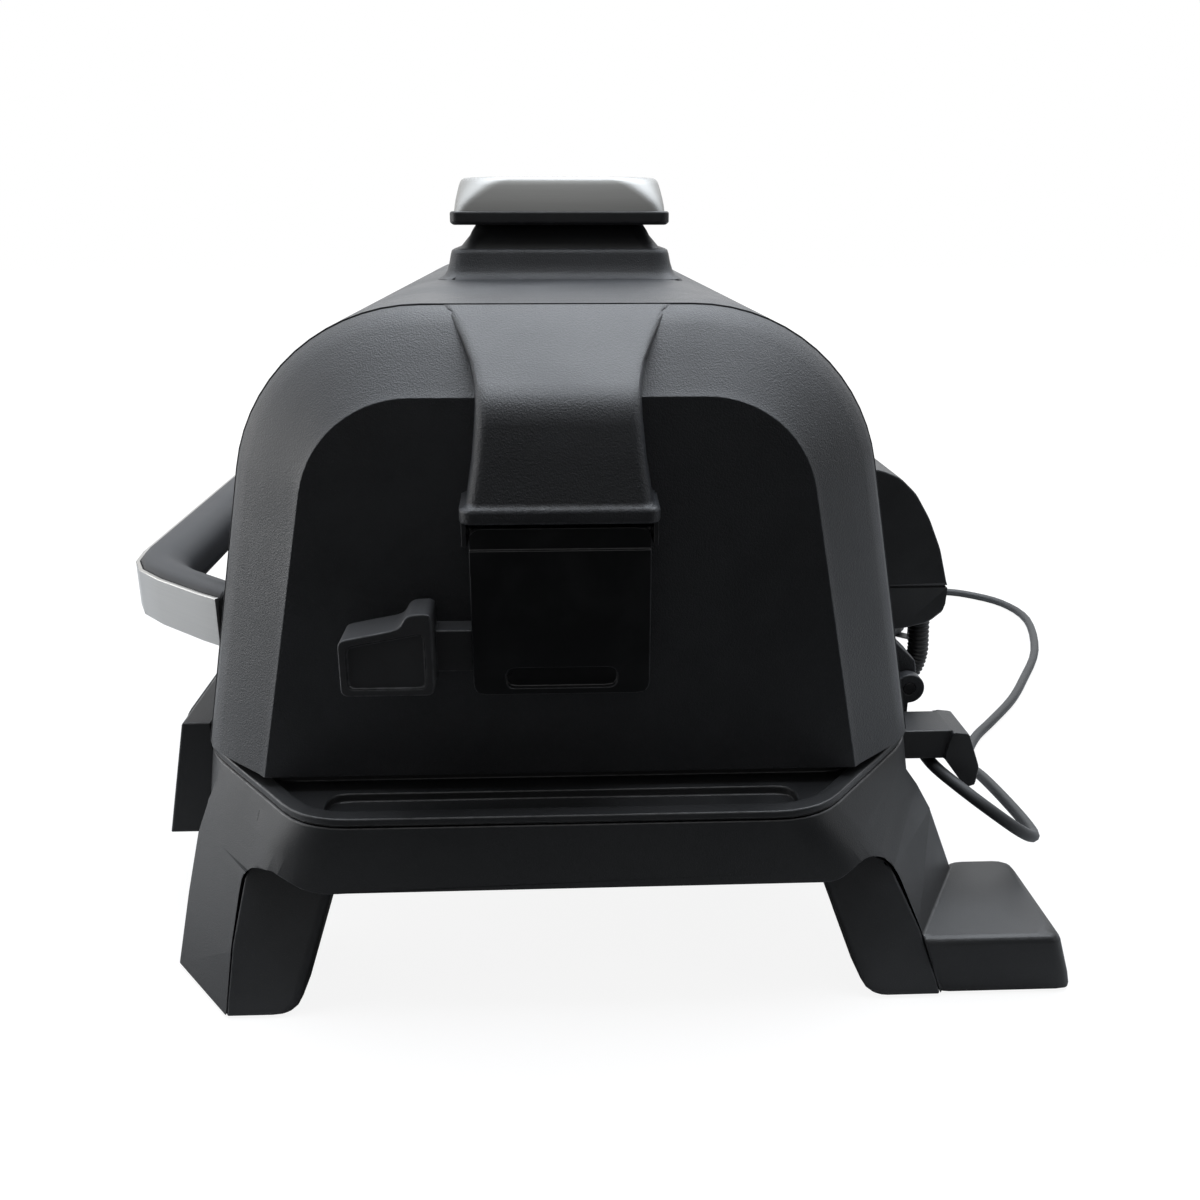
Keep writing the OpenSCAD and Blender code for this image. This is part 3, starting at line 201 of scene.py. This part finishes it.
def ribbed_hose(name, line):
    """A hose along a line in a plane across X, whose radius swells once in each rib."""
    bm = bmesh.new()
    side = Vector((1.0, 0.0, 0.0))
    turns = [2 * math.pi * j / HOSE_SIDES for j in range(HOSE_SIDES)]
    count = HOSE_RIBS * RIB_STEPS
    rings = []
    for i in range(count + 1):
        f = i / count * (len(line) - 1)
        k = min(int(f), len(line) - 2)
        centre = line[k].lerp(line[k + 1], f - k)
        out = (line[k + 1] - line[k]).normalized().cross(side)
        swell = math.sqrt(0.5 - 0.5 * math.cos(2 * math.pi * i / RIB_STEPS))
        radius = (HOSE_LOW + (HOSE_HIGH - HOSE_LOW) * swell) * MM
        rings.append([bm.verts.new(centre + radius * (math.cos(a) * side + math.sin(a) * out))
                      for a in turns])
    for one, two in zip(rings, rings[1:]):
        for j in range(HOSE_SIDES):
            bm.faces.new((one[j], one[j - 1], two[j - 1], two[j])).smooth = True
    bm.faces.new(rings[0])
    bm.faces.new(list(reversed(rings[-1])))
    bmesh.ops.recalc_face_normals(bm, faces=bm.faces)
    return shown(name, meshed(name, bm))


hose_line = [q * MM for q in eased(HOSE_ROUTE, HOSE_STEPS)]
hose = ribbed_hose("ribbed_hose", hose_line)
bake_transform(hose)
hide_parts("wiring_conduit")
print("hose faces", len(hose.data.polygons))

# %% [markdown]
# ## The steel cap
# The cap on the vent tower is one pressing: almost upright at its lip, with corners that grow
# rounder towards the flat top, as sheet does when it is drawn over a former. A plain bevel gives
# one radius all the way up, so rectangles with rounder and rounder corners are stacked and bridged
# instead.

# %% Pressed cap
CAP_HALF = (66.0, 58.2)
CAP_MIDDLE = (0.0, -7.0)
CAP_FOOT = 322.9
# inset from the outline, height above the foot and corner size of each level
CAP_LEVELS = [
    (2.2, 0.0, 6.0), (2.4, 3.0, 8.5), (2.8, 6.5, 12.5), (3.3, 10.0, 17.5), (3.8, 13.0, 22.0),
    (4.3, 15.0, 25.0), (5.1, 16.3, 27.0), (6.3, 17.0, 28.5), (8.2, 17.25, 29.5), (11.0, 17.3, 30.0),
]
CORNER_SEGMENTS = 10
SHADED_SHARP = math.radians(40)


def soft_rectangle(bm, inset, height, corner):
    """A flat face with rounded corners at a height above the cap's foot."""
    corners = bmesh.ops.create_grid(bm, x_segments=1, y_segments=1, size=1.0)["verts"]
    bmesh.ops.scale(bm, verts=corners, vec=[(half - inset) * MM for half in CAP_HALF] + [1.0])
    bmesh.ops.translate(bm, verts=corners, vec=Vector((*CAP_MIDDLE, CAP_FOOT + height)) * MM)
    made = bmesh.ops.bevel(bm, geom=corners, offset=corner * MM, offset_type="OFFSET",
                           affect="VERTICES", segments=CORNER_SEGMENTS, profile=0.5, material=-1)
    return made["verts"][0].link_faces[0]


def pressed_cap(name):
    """The cap as one closed skin."""
    bm = bmesh.new()
    levels = [soft_rectangle(bm, *level) for level in CAP_LEVELS]
    for low, high in zip(levels, levels[1:]):
        bmesh.ops.bridge_loops(bm, edges=list(low.edges) + list(high.edges))
    bmesh.ops.delete(bm, geom=levels[1:-1], context="FACES_ONLY")
    bmesh.ops.recalc_face_normals(bm, faces=bm.faces)
    for face in bm.faces:
        face.smooth = True
    mesh = meshed(name, bm)
    mesh.set_sharp_from_angle(angle=SHADED_SHARP)
    return shown(name, mesh)


steel_dome = pressed_cap("steel_dome")
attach(steel_dome, "lid")
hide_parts("steel_cap")
print("cap faces", len(steel_dome.data.polygons))

# %% [markdown]
# ## Rounded edges
# No moulded or pressed edge is perfectly sharp, and it is the thin light along an edge that tells
# the eye what a dark thing is made of. Each solid is copied, its triangles are merged and joined
# into flat faces, and its sharp edges are bevelled. The bevel's own faces are marked in an
# attribute, so that a finish can be polished there and made lighter, partly as wear and partly as a
# painted highlight. Weighted normals keep the large faces flat.

# %% Copy of a solid with rounded edges
WELD = 2e-6
FLAT = math.radians(0.4)
SHARP = math.radians(34.0)
EDGE_SEGMENTS = 3
# shares of the width that are tried in turn; each try leaves out the edges that failed before
EDGE_TRIES = (1.0, 1.0, 1.0, 0.5, 0.25, 0.0)
# in widths: how far a good point may be from the solid, and how far a bad point's trouble reaches
ASTRAY, REACH = 0.8, 2.0


def body_of(node):
    """The moving body that a solid belongs to."""
    for body, members in frame["record"]["behaviour"]["bodies"].items():
        if node in members:
            return body
    raise KeyError(node)


def merged(node):
    """A copy of a solid's mesh in flat faces; those that may hold a hole are split again."""
    bm = bmesh.new()
    bm.from_mesh(frame["nodes"][node].data)
    bmesh.ops.remove_doubles(bm, verts=bm.verts, dist=WELD)
    bmesh.ops.dissolve_limit(bm, angle_limit=FLAT, verts=bm.verts, edges=bm.edges)
    bmesh.ops.triangulate(bm, faces=[f for f in bm.faces if len(f.verts) > 4])
    bm.normal_update()
    return bm


def from_edge(point, start, end):
    """The distance of a point from an edge."""
    share = intersect_point_line(point, start, end)[1]
    return (point - start.lerp(end, max(0.0, min(1.0, share)))).length


def rounded(node, width):
    """The copy with its sharp edges rounded, and the width that was reached."""
    solid = merged(node)
    skin = BVHTree.FromBMesh(solid)
    solid.free()
    plain = set()
    for tried in [width * share for share in EDGE_TRIES]:
        bm = merged(node)
        bm.edges.index_update()
        # the bevel faces are marked for edge wear and a painted edge highlight
        wear_and_highlight = bm.faces.layers.float.new("edge_wear_and_highlight")
        sharp = [e for e in bm.edges if e.index not in plain and e.is_manifold
                 and e.calc_face_angle(0.0) > SHARP]
        if not tried or not sharp:
            return bm, 0.0
        ends = {e.index: [v.co.copy() for v in e.verts] for e in sharp}
        made = bmesh.ops.bevel(bm, geom=sharp, offset=tried * MM, offset_type="OFFSET",
                               affect="EDGES", segments=EDGE_SEGMENTS, profile=0.5, material=-1,
                               clamp_overlap=False, loop_slide=True)
        for face in made["faces"]:
            face[wear_and_highlight] = 1.0
        stray = [v for v in bm.verts if skin.find_nearest(v.co)[3] > ASTRAY * tried * MM]
        if not stray:
            return bm, tried
        spots = {n.co.copy().freeze() for v in stray for e in v.link_edges for n in e.verts}
        plain |= {i for i, (a, b) in ends.items()
                  if any(from_edge(q, a, b) < REACH * tried * MM for q in spots)}
        bm.free()


def edged(node, width):
    """A piece that takes a solid's place, with rounded edges (width in millimetres)."""
    bm, used = rounded(node, width)
    for face in bm.faces:
        face.smooth = True
    mesh = meshed(node + "_edged", bm)
    mesh.set_sharp_from_angle(angle=SHADED_SHARP)
    piece = shown(node + "_edged", mesh)
    weighted = piece.modifiers.new("flat faces", "WEIGHTED_NORMAL")
    weighted.keep_sharp = True
    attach(piece, body_of(node))
    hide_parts(node)
    if used < width:
        print(node, "edges", used, "of", width, "mm")
    return piece


# %% [markdown]
# ## Tools for the finishes
# Every finish here is a Principled surface with some pattern on it: a moulded grain, brushed
# streaks, a soft mottle or a lighter edge, which is partly wear and partly a painted highlight.
# Each pattern is a node group, built once, that reads Object coordinates, so a pattern stays on its
# piece as the lid opens.


# %% Node helpers
def feed(tree, socket, value):
    """Links an input to a socket, or sets it to a plain value."""
    if isinstance(value, bpy.types.NodeSocket):
        tree.links.new(value, socket)
    else:
        socket.default_value = value


def add(tree, kind, *terms, **values):
    """Adds a node; terms feed its inputs in order, values its properties or its named inputs."""
    node = tree.nodes.new("ShaderNode" + kind)
    for key, value in values.items():
        if key in node.inputs:
            feed(tree, node.inputs[key], value)
        else:
            setattr(node, key, value)
    for socket, term in zip(node.inputs, terms):
        feed(tree, socket, term)
    return node


def calc(tree, operation, *terms):
    """The result of a Math node."""
    return add(tree, "Math", *terms, operation=operation).outputs[0]


def ranged(tree, value, low, high):
    """A number that runs from low to high as a value goes from 0 to 1."""
    return add(tree, "MapRange", value, 0.0, 1.0, low, high).outputs[0]


def soft_step(tree, value, start, end, low=0.0, high=1.0):
    """A number that eases from low to high as a value goes from start to end."""
    return add(tree, "MapRange", value, start, end, low, high,
               interpolation_type="SMOOTHSTEP").outputs[0]


def mixed(tree, factor, low, high):
    """A number that runs from low to high with a factor."""
    mix = add(tree, "Mix", factor, data_type="FLOAT")
    feed(tree, mix.inputs[2], low)
    feed(tree, mix.inputs[3], high)
    return mix.outputs[0]


def blended(tree, factor, low, high):
    """A colour that runs from low to high with a factor; low may be a socket too."""
    mix = add(tree, "Mix", factor, data_type="RGBA")
    feed(tree, mix.inputs[6], (*low, 1.0) if isinstance(low, tuple) else low)
    feed(tree, mix.inputs[7], (*high, 1.0))
    return mix.outputs[2]


def here(tree):
    """The Object coordinates."""
    return add(tree, "TexCoord").outputs["Object"]


def pattern(name, outs, **ins):
    """A new node group that puts out numbers, with its input and output sockets."""
    group = bpy.data.node_groups.new(name, "ShaderNodeTree")
    for label, value in ins.items():
        kind = "NodeSocketFloat" if isinstance(value, float) else "NodeSocketVector"
        socket = group.interface.new_socket(label, in_out="INPUT", socket_type=kind)
        socket.default_value = value
    for label in outs:
        group.interface.new_socket(label, in_out="OUTPUT", socket_type="NodeSocketFloat")
    taken, given = group.nodes.new("NodeGroupInput"), group.nodes.new("NodeGroupOutput")
    return group, taken.outputs, given.inputs


def place(tree, group, **values):
    """A node group in a material, with its own values."""
    node = tree.nodes.new("ShaderNodeGroup")
    node.node_tree = group
    for key, value in values.items():
        node.inputs[key].default_value = value
    return node


# %% Moulded grain: rounded pebbles with fine pits between them
PIT_RATE, PEBBLE_SHARE = 1.7, 0.55
FLECK_FROM, FLECK_TO = 0.6, 0.78
grain, g_in, g_out = pattern("moulded grain", ("Height", "Fleck"), Size=1.0)
g_at = here(grain)
g_rate = calc(grain, "DIVIDE", MM_PER_M, g_in["Size"])
g_cells = add(grain, "TexVoronoi", feature="SMOOTH_F1", Vector=g_at, Scale=g_rate,
              Smoothness=0.45, Randomness=1.0).outputs["Distance"]
g_pits = add(grain, "TexNoise", Vector=g_at, Scale=calc(grain, "MULTIPLY", g_rate, PIT_RATE),
             Detail=2.0, Roughness=0.6).outputs["Fac"]
feed(grain, g_out["Height"], calc(grain, "MULTIPLY_ADD", g_cells, PEBBLE_SHARE, g_pits))
feed(grain, g_out["Fleck"], soft_step(grain, g_pits, FLECK_FROM, FLECK_TO))

# %% Mottle: slow changes of tone, from handling, dust and cooling
mottle, m_in, m_out = pattern("mottle", ("Tone",), Size=60.0, Low=0.35, High=0.65)
m_noise = add(mottle, "TexNoise", Vector=here(mottle),
              Scale=calc(mottle, "DIVIDE", MM_PER_M, m_in["Size"]),
              Detail=4.0, Roughness=0.62, Distortion=0.3).outputs["Fac"]
feed(mottle, m_out["Tone"], soft_step(mottle, m_noise, m_in["Low"], m_in["High"]))

# %% Brushed streaks: noise drawn out along one direction
streaks, s_in, s_out = pattern("brushed streaks", ("Streak",), Along=(4.0, 900.0, 900.0))
s_at = add(streaks, "VectorMath", here(streaks), s_in["Along"], operation="MULTIPLY")
s_noise = add(streaks, "TexNoise", Vector=s_at.outputs["Vector"],
              Scale=1.0, Detail=3.0, Roughness=0.7).outputs["Fac"]
feed(streaks, s_out["Streak"], s_noise)

# %% Worn edge with a painted highlight: the marked edge faces, broken up by a fine noise
WEAR_HIGHLIGHT_FROM, WEAR_HIGHLIGHT_TO = 0.3, 0.62
wear_and_highlight_group, w_in, w_out = pattern("worn edge", ("Mask",), Amount=0.5)
w_mark = add(wear_and_highlight_group, "Attribute", attribute_name="edge_wear_and_highlight").outputs["Fac"]
w_noise = add(wear_and_highlight_group, "TexNoise", Vector=here(wear_and_highlight_group), Scale=220.0, Detail=3.0).outputs["Fac"]
w_cut = calc(wear_and_highlight_group, "MULTIPLY", w_mark, soft_step(wear_and_highlight_group, w_noise, WEAR_HIGHLIGHT_FROM, WEAR_HIGHLIGHT_TO))
feed(wear_and_highlight_group, w_out["Mask"], calc(wear_and_highlight_group, "MULTIPLY", w_cut, w_in["Amount"]))
print("patterns:", [g.name for g in bpy.data.node_groups])


# %% Shared steps of a material
def surface(name, metallic=0.0, specular=0.5):
    """A new material with its Principled surface; plain numbers are set on the sockets."""
    finish = bpy.data.materials.new(name)
    finish.use_nodes = True
    shader = finish.node_tree.nodes["Principled BSDF"]
    shader.inputs["Metallic"].default_value = metallic
    shader.inputs["Specular IOR Level"].default_value = specular
    return finish, finish.node_tree, shader.inputs


def dent(tree, skin, height, depth):
    """A bump of a depth in millimetres."""
    bump = add(tree, "Bump", Strength=1.0, Distance=depth * MM, Height=height)
    feed(tree, skin["Normal"], bump.outputs["Normal"])


def lighter(colour, gain, lift=0.0):
    """A paler shade of a colour."""
    return tuple(c * gain + lift for c in colour)


# %% [markdown]
# ## Moulded and painted finishes
# The lid is pressed metal with a pebbled charcoal coat, the base is moulded in a matte plastic of
# nearly the same colour, and the flat ends are almost black. They differ in grain size, in how
# rough they are and in how much their edges catch the light, so one recipe with different values
# makes them all.

# %% Grained finish
TONE_SIZE, WEAR_AND_HIGHLIGHT = 70.0, 0.8
FLECK_GAIN, FLECK_LIFT, WEAR_HIGHLIGHT_GAIN = 1.5, 0.004, 1.7
EDGE_ROUGH = 0.3


def grained(name, dark, light, rough, size, depth, specular=0.5):
    """A moulded or painted surface: two tones, a grain (in millimetres) and lighter edges that are
    partly wear and partly a painted highlight.
    """
    finish, tree, skin = surface(name, specular=specular)
    tone = place(tree, mottle, Size=TONE_SIZE).outputs["Tone"]
    wear_and_highlight = place(tree, wear_and_highlight_group, Amount=WEAR_AND_HIGHLIGHT).outputs["Mask"]
    pebbles = place(tree, grain, Size=size).outputs
    colour = blended(tree, tone, dark, light)
    fleck = blended(tree, pebbles["Fleck"], colour, lighter(light, FLECK_GAIN, FLECK_LIFT))
    # the marked edges are lighter: partly wear, partly a painted highlight
    feed(tree, skin["Base Color"], blended(tree, wear_and_highlight, fleck, lighter(light, WEAR_HIGHLIGHT_GAIN)))
    uneven = ranged(tree, tone, rough - 0.04, rough + 0.05)
    feed(tree, skin["Roughness"], mixed(tree, wear_and_highlight, uneven, EDGE_ROUGH))
    dent(tree, skin, pebbles["Height"], depth)
    return finish


lid_coat = grained("lid_coat", (0.023, 0.0245, 0.0275), (0.031, 0.0328, 0.0365), 0.43, 0.8, 0.20)
base_plastic = grained("base_plastic", (0.022, 0.0228, 0.0243), (0.030, 0.0308, 0.0325),
                       0.44, 0.7, 0.06)
# leg covers: a lighter copy of the base plastic, painted light standing in for the light from above
# that their back-leaning faces catch
leg_plastic_painted_lighter = grained("leg_plastic_painted_lighter", (0.034, 0.035, 0.037), (0.043, 0.044, 0.0465), 0.44, 0.7, 0.06)
soft_grip = grained("soft_grip", (0.038, 0.0385, 0.041), (0.048, 0.0487, 0.0515),
                    0.6, 0.5, 0.03, specular=0.4)
black_plastic = grained("black_plastic", (0.013, 0.0134, 0.0148), (0.018, 0.0185, 0.02),
                        0.46, 0.6, 0.04)
rubber_black = grained("rubber_black", (0.012, 0.012, 0.0125), (0.018, 0.018, 0.0185),
                       0.72, 0.5, 0.03, specular=0.3)
cord_jacket = grained("cord_jacket", (0.034, 0.036, 0.038), (0.044, 0.046, 0.048), 0.5, 0.5, 0.02)
enamel = grained("enamel", (0.010, 0.0103, 0.011), (0.014, 0.0145, 0.015), 0.24, 2.4, 0.05)
grate_coat = grained("grate_coat", (0.012, 0.012, 0.0125), (0.020, 0.020, 0.0205), 0.4, 0.5, 0.05)
motor_paint = grained("motor_paint", (0.07, 0.072, 0.075), (0.09, 0.092, 0.095), 0.45, 0.9, 0.04)
print("grained finishes:", len(bpy.data.materials))

# %% [markdown]
# ## Semi-gloss black
# The flap, the panel's face and the dial are smooth black mouldings. What makes them look real is
# not the black but the fine hairlines and the patches that hands have polished, so those drive
# roughness.

# %% Smooth black moulding
HAIRLINES, HAIRLINE_DEPTH = (260.0, 30.0, 700.0), 0.006
HAND_GAIN, GLOSS_WEAR_HIGHLIGHT_GAIN = 1.25, 3.0


def smooth_black(name, colour, rough, specular=0.5):
    """A smooth moulding with hairlines and hand-polished patches."""
    finish, tree, skin = surface(name, specular=specular)
    hands = place(tree, mottle, Size=24.0, Low=0.4, High=0.7).outputs["Tone"]
    lines = place(tree, streaks, Along=HAIRLINES).outputs["Streak"]
    wear_and_highlight = place(tree, wear_and_highlight_group, Amount=1.0).outputs["Mask"]
    base = blended(tree, hands, colour, lighter(colour, HAND_GAIN))
    # the marked edges are made lighter: partly wear, partly a painted highlight
    feed(tree, skin["Base Color"], blended(tree, wear_and_highlight, base, lighter(colour, GLOSS_WEAR_HIGHLIGHT_GAIN)))
    feed(tree, skin["Roughness"], ranged(tree, hands, rough - 0.05, rough + 0.07))
    dent(tree, skin, lines, HAIRLINE_DEPTH)
    return finish


gloss_black = smooth_black("gloss_black", (0.0095, 0.0098, 0.0108), 0.34, 0.4)
lens_black = smooth_black("lens_black", (0.004, 0.0043, 0.005), 0.1)

# %% [markdown]
# ## Steels
# Stainless sheet is brushed in one direction, so its highlights smear across the lines. Fine noise
# stretched along the brushing drives both its tone and a very shallow bump. Plain zinc-coated parts
# are duller and have a mottled spangle, and the heating tubes are browned by heat.

# %% Brushed steel
BRUSH_DEPTH, SHEEN_SHARE = 0.006, 0.1


def brushed(name, dark, light, rough, along):
    """Brushed metal; along holds how fast the pattern changes on each axis, per metre."""
    finish, tree, skin = surface(name, metallic=1.0)
    lines = place(tree, streaks, Along=along).outputs["Streak"]
    tone = place(tree, mottle, Size=45.0).outputs["Tone"]
    sheen = calc(tree, "MULTIPLY_ADD", tone, SHEEN_SHARE, lines)
    feed(tree, skin["Base Color"], blended(tree, lines, dark, light))
    feed(tree, skin["Roughness"], ranged(tree, sheen, rough - 0.06, rough + 0.08))
    dent(tree, skin, lines, BRUSH_DEPTH)
    return finish


cap_steel = brushed("cap_steel", (0.29, 0.29, 0.283), (0.36, 0.36, 0.35),
                    0.46, (2600.0, 30.0, 2600.0))
strip_steel = brushed("strip_steel", (0.40, 0.396, 0.385), (0.50, 0.495, 0.48),
                      0.3, (24.0, 24.0, 2400.0))
sheet_steel = brushed("sheet_steel", (0.46, 0.46, 0.455), (0.58, 0.58, 0.57),
                      0.34, (18.0, 1900.0, 1900.0))

# %% Zinc-coated and heat-browned steel
SPANGLE_DEPTH = 0.02


def spangled(name, dark, light, rough, size):
    """Dull metal whose tone follows the coat's crystals (size in millimetres)."""
    finish, tree, skin = surface(name, metallic=1.0)
    crystals = add(tree, "TexVoronoi", Vector=here(tree), Scale=MM_PER_M / size).outputs["Color"]
    tone = place(tree, mottle, Size=18.0).outputs["Tone"]
    grey = add(tree, "SeparateColor", crystals).outputs[0]
    feed(tree, skin["Base Color"], blended(tree, grey, dark, light))
    feed(tree, skin["Roughness"], ranged(tree, tone, rough - 0.06, rough + 0.1))
    dent(tree, skin, tone, SPANGLE_DEPTH)
    return finish


zinc_coat = spangled("zinc_coat", (0.40, 0.405, 0.41), (0.52, 0.525, 0.53), 0.38, 3.0)
liner_coat = spangled("liner_coat", (0.36, 0.36, 0.36), (0.46, 0.46, 0.455), 0.42, 6.0)
dark_steel = spangled("dark_steel", (0.045, 0.045, 0.047), (0.065, 0.065, 0.068), 0.42, 3.0)
hot_steel = spangled("hot_steel", (0.16, 0.125, 0.10), (0.24, 0.215, 0.20), 0.45, 5.0)

# %% Circuit board
TRACK_DEPTH = 0.03
board_green, b_tree, b_skin = surface("board_green")
b_tracks = add(b_tree, "TexBrick", Vector=here(b_tree), Scale=60.0,
               Color1=(0.010, 0.075, 0.035, 1.0), Color2=(0.014, 0.095, 0.045, 1.0),
               Mortar=(0.03, 0.16, 0.07, 1.0)).outputs
b_tone = place(b_tree, mottle, Size=20.0).outputs["Tone"]
feed(b_tree, b_skin["Base Color"], b_tracks["Color"])
feed(b_tree, b_skin["Roughness"], ranged(b_tree, b_tone, 0.3, 0.42))
dent(b_tree, b_skin, b_tracks["Fac"], TRACK_DEPTH)
print("finishes:", len(bpy.data.materials))

# %% [markdown]
# ## Dressing the solids
# Each solid now gets its rounded edge, in millimetres, and its finish. Lofted pieces already carry
# their own roundings, so their width is small or nothing.

# %% Finish and edge of each solid
FINISHES = [
    (lid_coat, {"lid_shell": 0.15, "vent_neck": 0.0, "lid_knuckles": 0.8, "hinge_brackets": 0.6,
                "end_cap_right": 0.3, "end_cap_left": 0.3, "smoke_hood": 1.2}),
    (base_plastic, {"base_skirt": 0.8, "base_rim": 0.8, "cord_cleats": 0.6, "rear_housing": 1.0}),
    (leg_plastic_painted_lighter, {"leg_covers": 1.0}),
    (soft_grip, {"handle_grip": 0.0, "flap_tab": 0.7,
                 "button_temp_up": 0.4, "button_temp_down": 0.4, "button_time_up": 0.4,
                 "button_time_down": 0.4, "button_smoke": 0.4, "button_start": 0.4}),
    (black_plastic, {"vent_collar": 0.0, "cap_rim": 0.5, "control_housing": 1.2,
                     "conduit_socket": 0.5, "flap_brackets": 0.3, "coil_tie": 0.3}),
    (gloss_black, {"control_face": 0.5, "smoke_flap": 0.5, "dial": 0.2}),
    (lens_black, {"display_lens": 0.4}),
    (strip_steel, {"handle_strip": 0.3, "dial_bezel": 0.4}),
    (sheet_steel, {"grease_tray": 0.4, "smoke_box": 0.2}),
    (dark_steel, {"hinge_pins": 0.3, "flap_pin": 0.2}),
    (zinc_coat, {"base_screws": 0.3, "plug_pins": 0.2, "fan_wheel": 0.2,
                 "fan_guard": 0.2, "motor_plate": 0.3, "element_clips": 0.3}),
    (liner_coat, {"lid_liner": 0.3}),
    (hot_steel, {"heating_element": 0.0, "igniter_rod": 0.3}),
    (rubber_black, {"foot_pads": 0.2, "lid_seal": 0.5, "cord_gland": 0.6, "plug_body": 0.6}),
    (enamel, {"cooking_well": 0.4, "bottom_pan": 0.6}),
    (grate_coat, {"grill_grate": 0.5}),
    (motor_paint, {"fan_motor": 0.5}),
    (board_green, {"control_board": 0.0}),
]
dressed = {}
for finish, widths in FINISHES:
    for node, width in widths.items():
        dressed[node] = edged(node, width)
        dressed[node].data.materials.append(finish)
mains_lead.data.materials.append(cord_jacket)
hose.data.materials.append(black_plastic)
steel_dome.data.materials.append(cap_steel)
print("dressed", len(dressed), "of", len(frame["nodes"]), "solids")

# %% [markdown]
# ## Floor and light
# The picture has a pure white ground, light from above and from the left, and a dark side towards
# the camera, which keeps the end face almost black. The world is white to the camera and through
# clear parts. In reflections it is white behind and above, with two pale patches in front that the
# steel cap and the rounded edges show, and as plain light it is dim, so the lamps shape the forms.

# %% World
BEHIND = ((-0.70, -0.10, 0.70), -0.1, 0.75)
CAP_PATCH = ((0.87, 0.0, 0.49), 0.88, 0.98, 0.75)
EDGE_PATCH = ((0.42, 0.0, 0.91), 0.86, 0.97, 0.55)
MIRRORED, PLAIN, SEEN = 1.1, 0.25, 1.0
world = bpy.data.worlds.new("studio")
scene.world = world
world.use_nodes = True
sky = world.node_tree
sky.nodes.clear()
sky_at = add(sky, "TexCoord").outputs["Generated"]
sky_ray = add(sky, "LightPath").outputs


def sky_patch(direction, edge, core, strength):
    """A soft patch of light; edge and core are cosines of the angles from its middle."""
    along = add(sky, "VectorMath", sky_at, direction, operation="DOT_PRODUCT").outputs["Value"]
    return soft_step(sky, along, edge, core, 0.0, strength)


sky_front = calc(sky, "ADD", sky_patch(*CAP_PATCH), sky_patch(*EDGE_PATCH))
sky_mirror = calc(sky, "ADD", sky_patch(*BEHIND, MIRRORED), sky_front)
sky_glow = mixed(sky, sky_ray["Is Glossy Ray"], sky_patch(*BEHIND, PLAIN), sky_mirror)
sky_seen = calc(sky, "MAXIMUM", sky_ray["Is Camera Ray"], sky_ray["Is Transmission Ray"])
sky_light = add(sky, "Background", Color=(1.0, 1.0, 1.0, 1.0),
                Strength=mixed(sky, sky_seen, sky_glow, SEEN))
add(sky, "OutputWorld", Surface=sky_light.outputs[0])
print("world nodes:", len(sky.nodes))

# %% [markdown]
# The floor is white to the camera, and it glows a little so that only the soft shadow under the
# grill stays on it; further off it glows fully and is lost in the white. For other rays it is pale
# under the grill and dark in front, so that it throws little light up at the end face.

# %% Floor
FLOOR_HALF, FLOOR_DROP = 6.0, 0.0004
BRIGHT, PALE, DARK = (0.9, 0.9, 0.9), (0.6, 0.6, 0.6), (0.03, 0.03, 0.03)
DARK_FROM, DARK_TO = 0.15, 0.55
GLOW, GLOW_NEAR, GLOW_FROM, GLOW_TO = 1.12, 0.8, 0.3, 0.75
floor_bm = bmesh.new()
bmesh.ops.create_grid(floor_bm, x_segments=1, y_segments=1, size=FLOOR_HALF)
bmesh.ops.translate(floor_bm, verts=floor_bm.verts, vec=(0.0, 0.0, -FLOOR_DROP))
floor = shown("floor", meshed("floor", floor_bm))
pale, p_tree, p_skin = surface("pale_floor", specular=0.1)
p_at = here(p_tree)
p_x = add(p_tree, "SeparateXYZ", p_at).outputs["X"]
p_eye = add(p_tree, "LightPath").outputs["Is Camera Ray"]
p_dim = blended(p_tree, soft_step(p_tree, p_x, DARK_FROM, DARK_TO), PALE, DARK)
feed(p_tree, p_skin["Base Color"], blended(p_tree, p_eye, p_dim, BRIGHT))
p_skin["Roughness"].default_value = 0.9
p_away = add(p_tree, "VectorMath", p_at, operation="LENGTH").outputs["Value"]
p_far = soft_step(p_tree, p_away, GLOW_FROM, GLOW_TO, GLOW_NEAR)
p_glow = add(p_tree, "Emission", Strength=GLOW).outputs[0]
p_plain = p_tree.nodes["Principled BSDF"].outputs[0]
p_mix = add(p_tree, "MixShader", calc(p_tree, "MULTIPLY", p_eye, p_far), p_plain, p_glow)
feed(p_tree, p_tree.nodes["Material Output"].inputs["Surface"], p_mix.outputs[0])
floor.data.materials.append(pale)
print("floor nodes:", len(p_tree.nodes))


# %% Lamps
def softbox(name, at, aim, wide, tall, watts, tint=(1.0, 1.0, 1.0)):
    """A rectangular lamp that faces a point."""
    lamp = bpy.data.lights.new(name, "AREA")
    lamp.shape = "RECTANGLE"
    lamp.size, lamp.size_y, lamp.energy = wide, tall, watts
    lamp.color = tint
    turned = (Vector(aim) - Vector(at)).to_track_quat("-Z", "Y").to_matrix().to_4x4()
    shown(name, lamp).matrix_world = Matrix.Translation(at) @ turned


COOL = (0.92, 0.98, 1.06)
LID = (0.0, 0.0, 0.2)
softbox("overhead", (-0.35, 0.1, 1.7), LID, 1.6, 1.8, 34.0, COOL)
softbox("upper left", (-0.1, -1.0, 1.4), LID, 1.2, 1.0, 6.0, COOL)
softbox("upper right", (-0.1, 1.0, 1.4), LID, 1.2, 1.0, 6.5, COOL)
softbox("left", (0.1, -1.8, 0.4), (0.1, 0.0, 0.15), 1.6, 0.8, 12.5)
softbox("right", (0.7, 1.75, 0.5), (0.1, 0.0, 0.25), 0.4, 0.9, 1.8)

# %% The end
bpy.context.view_layer.update()
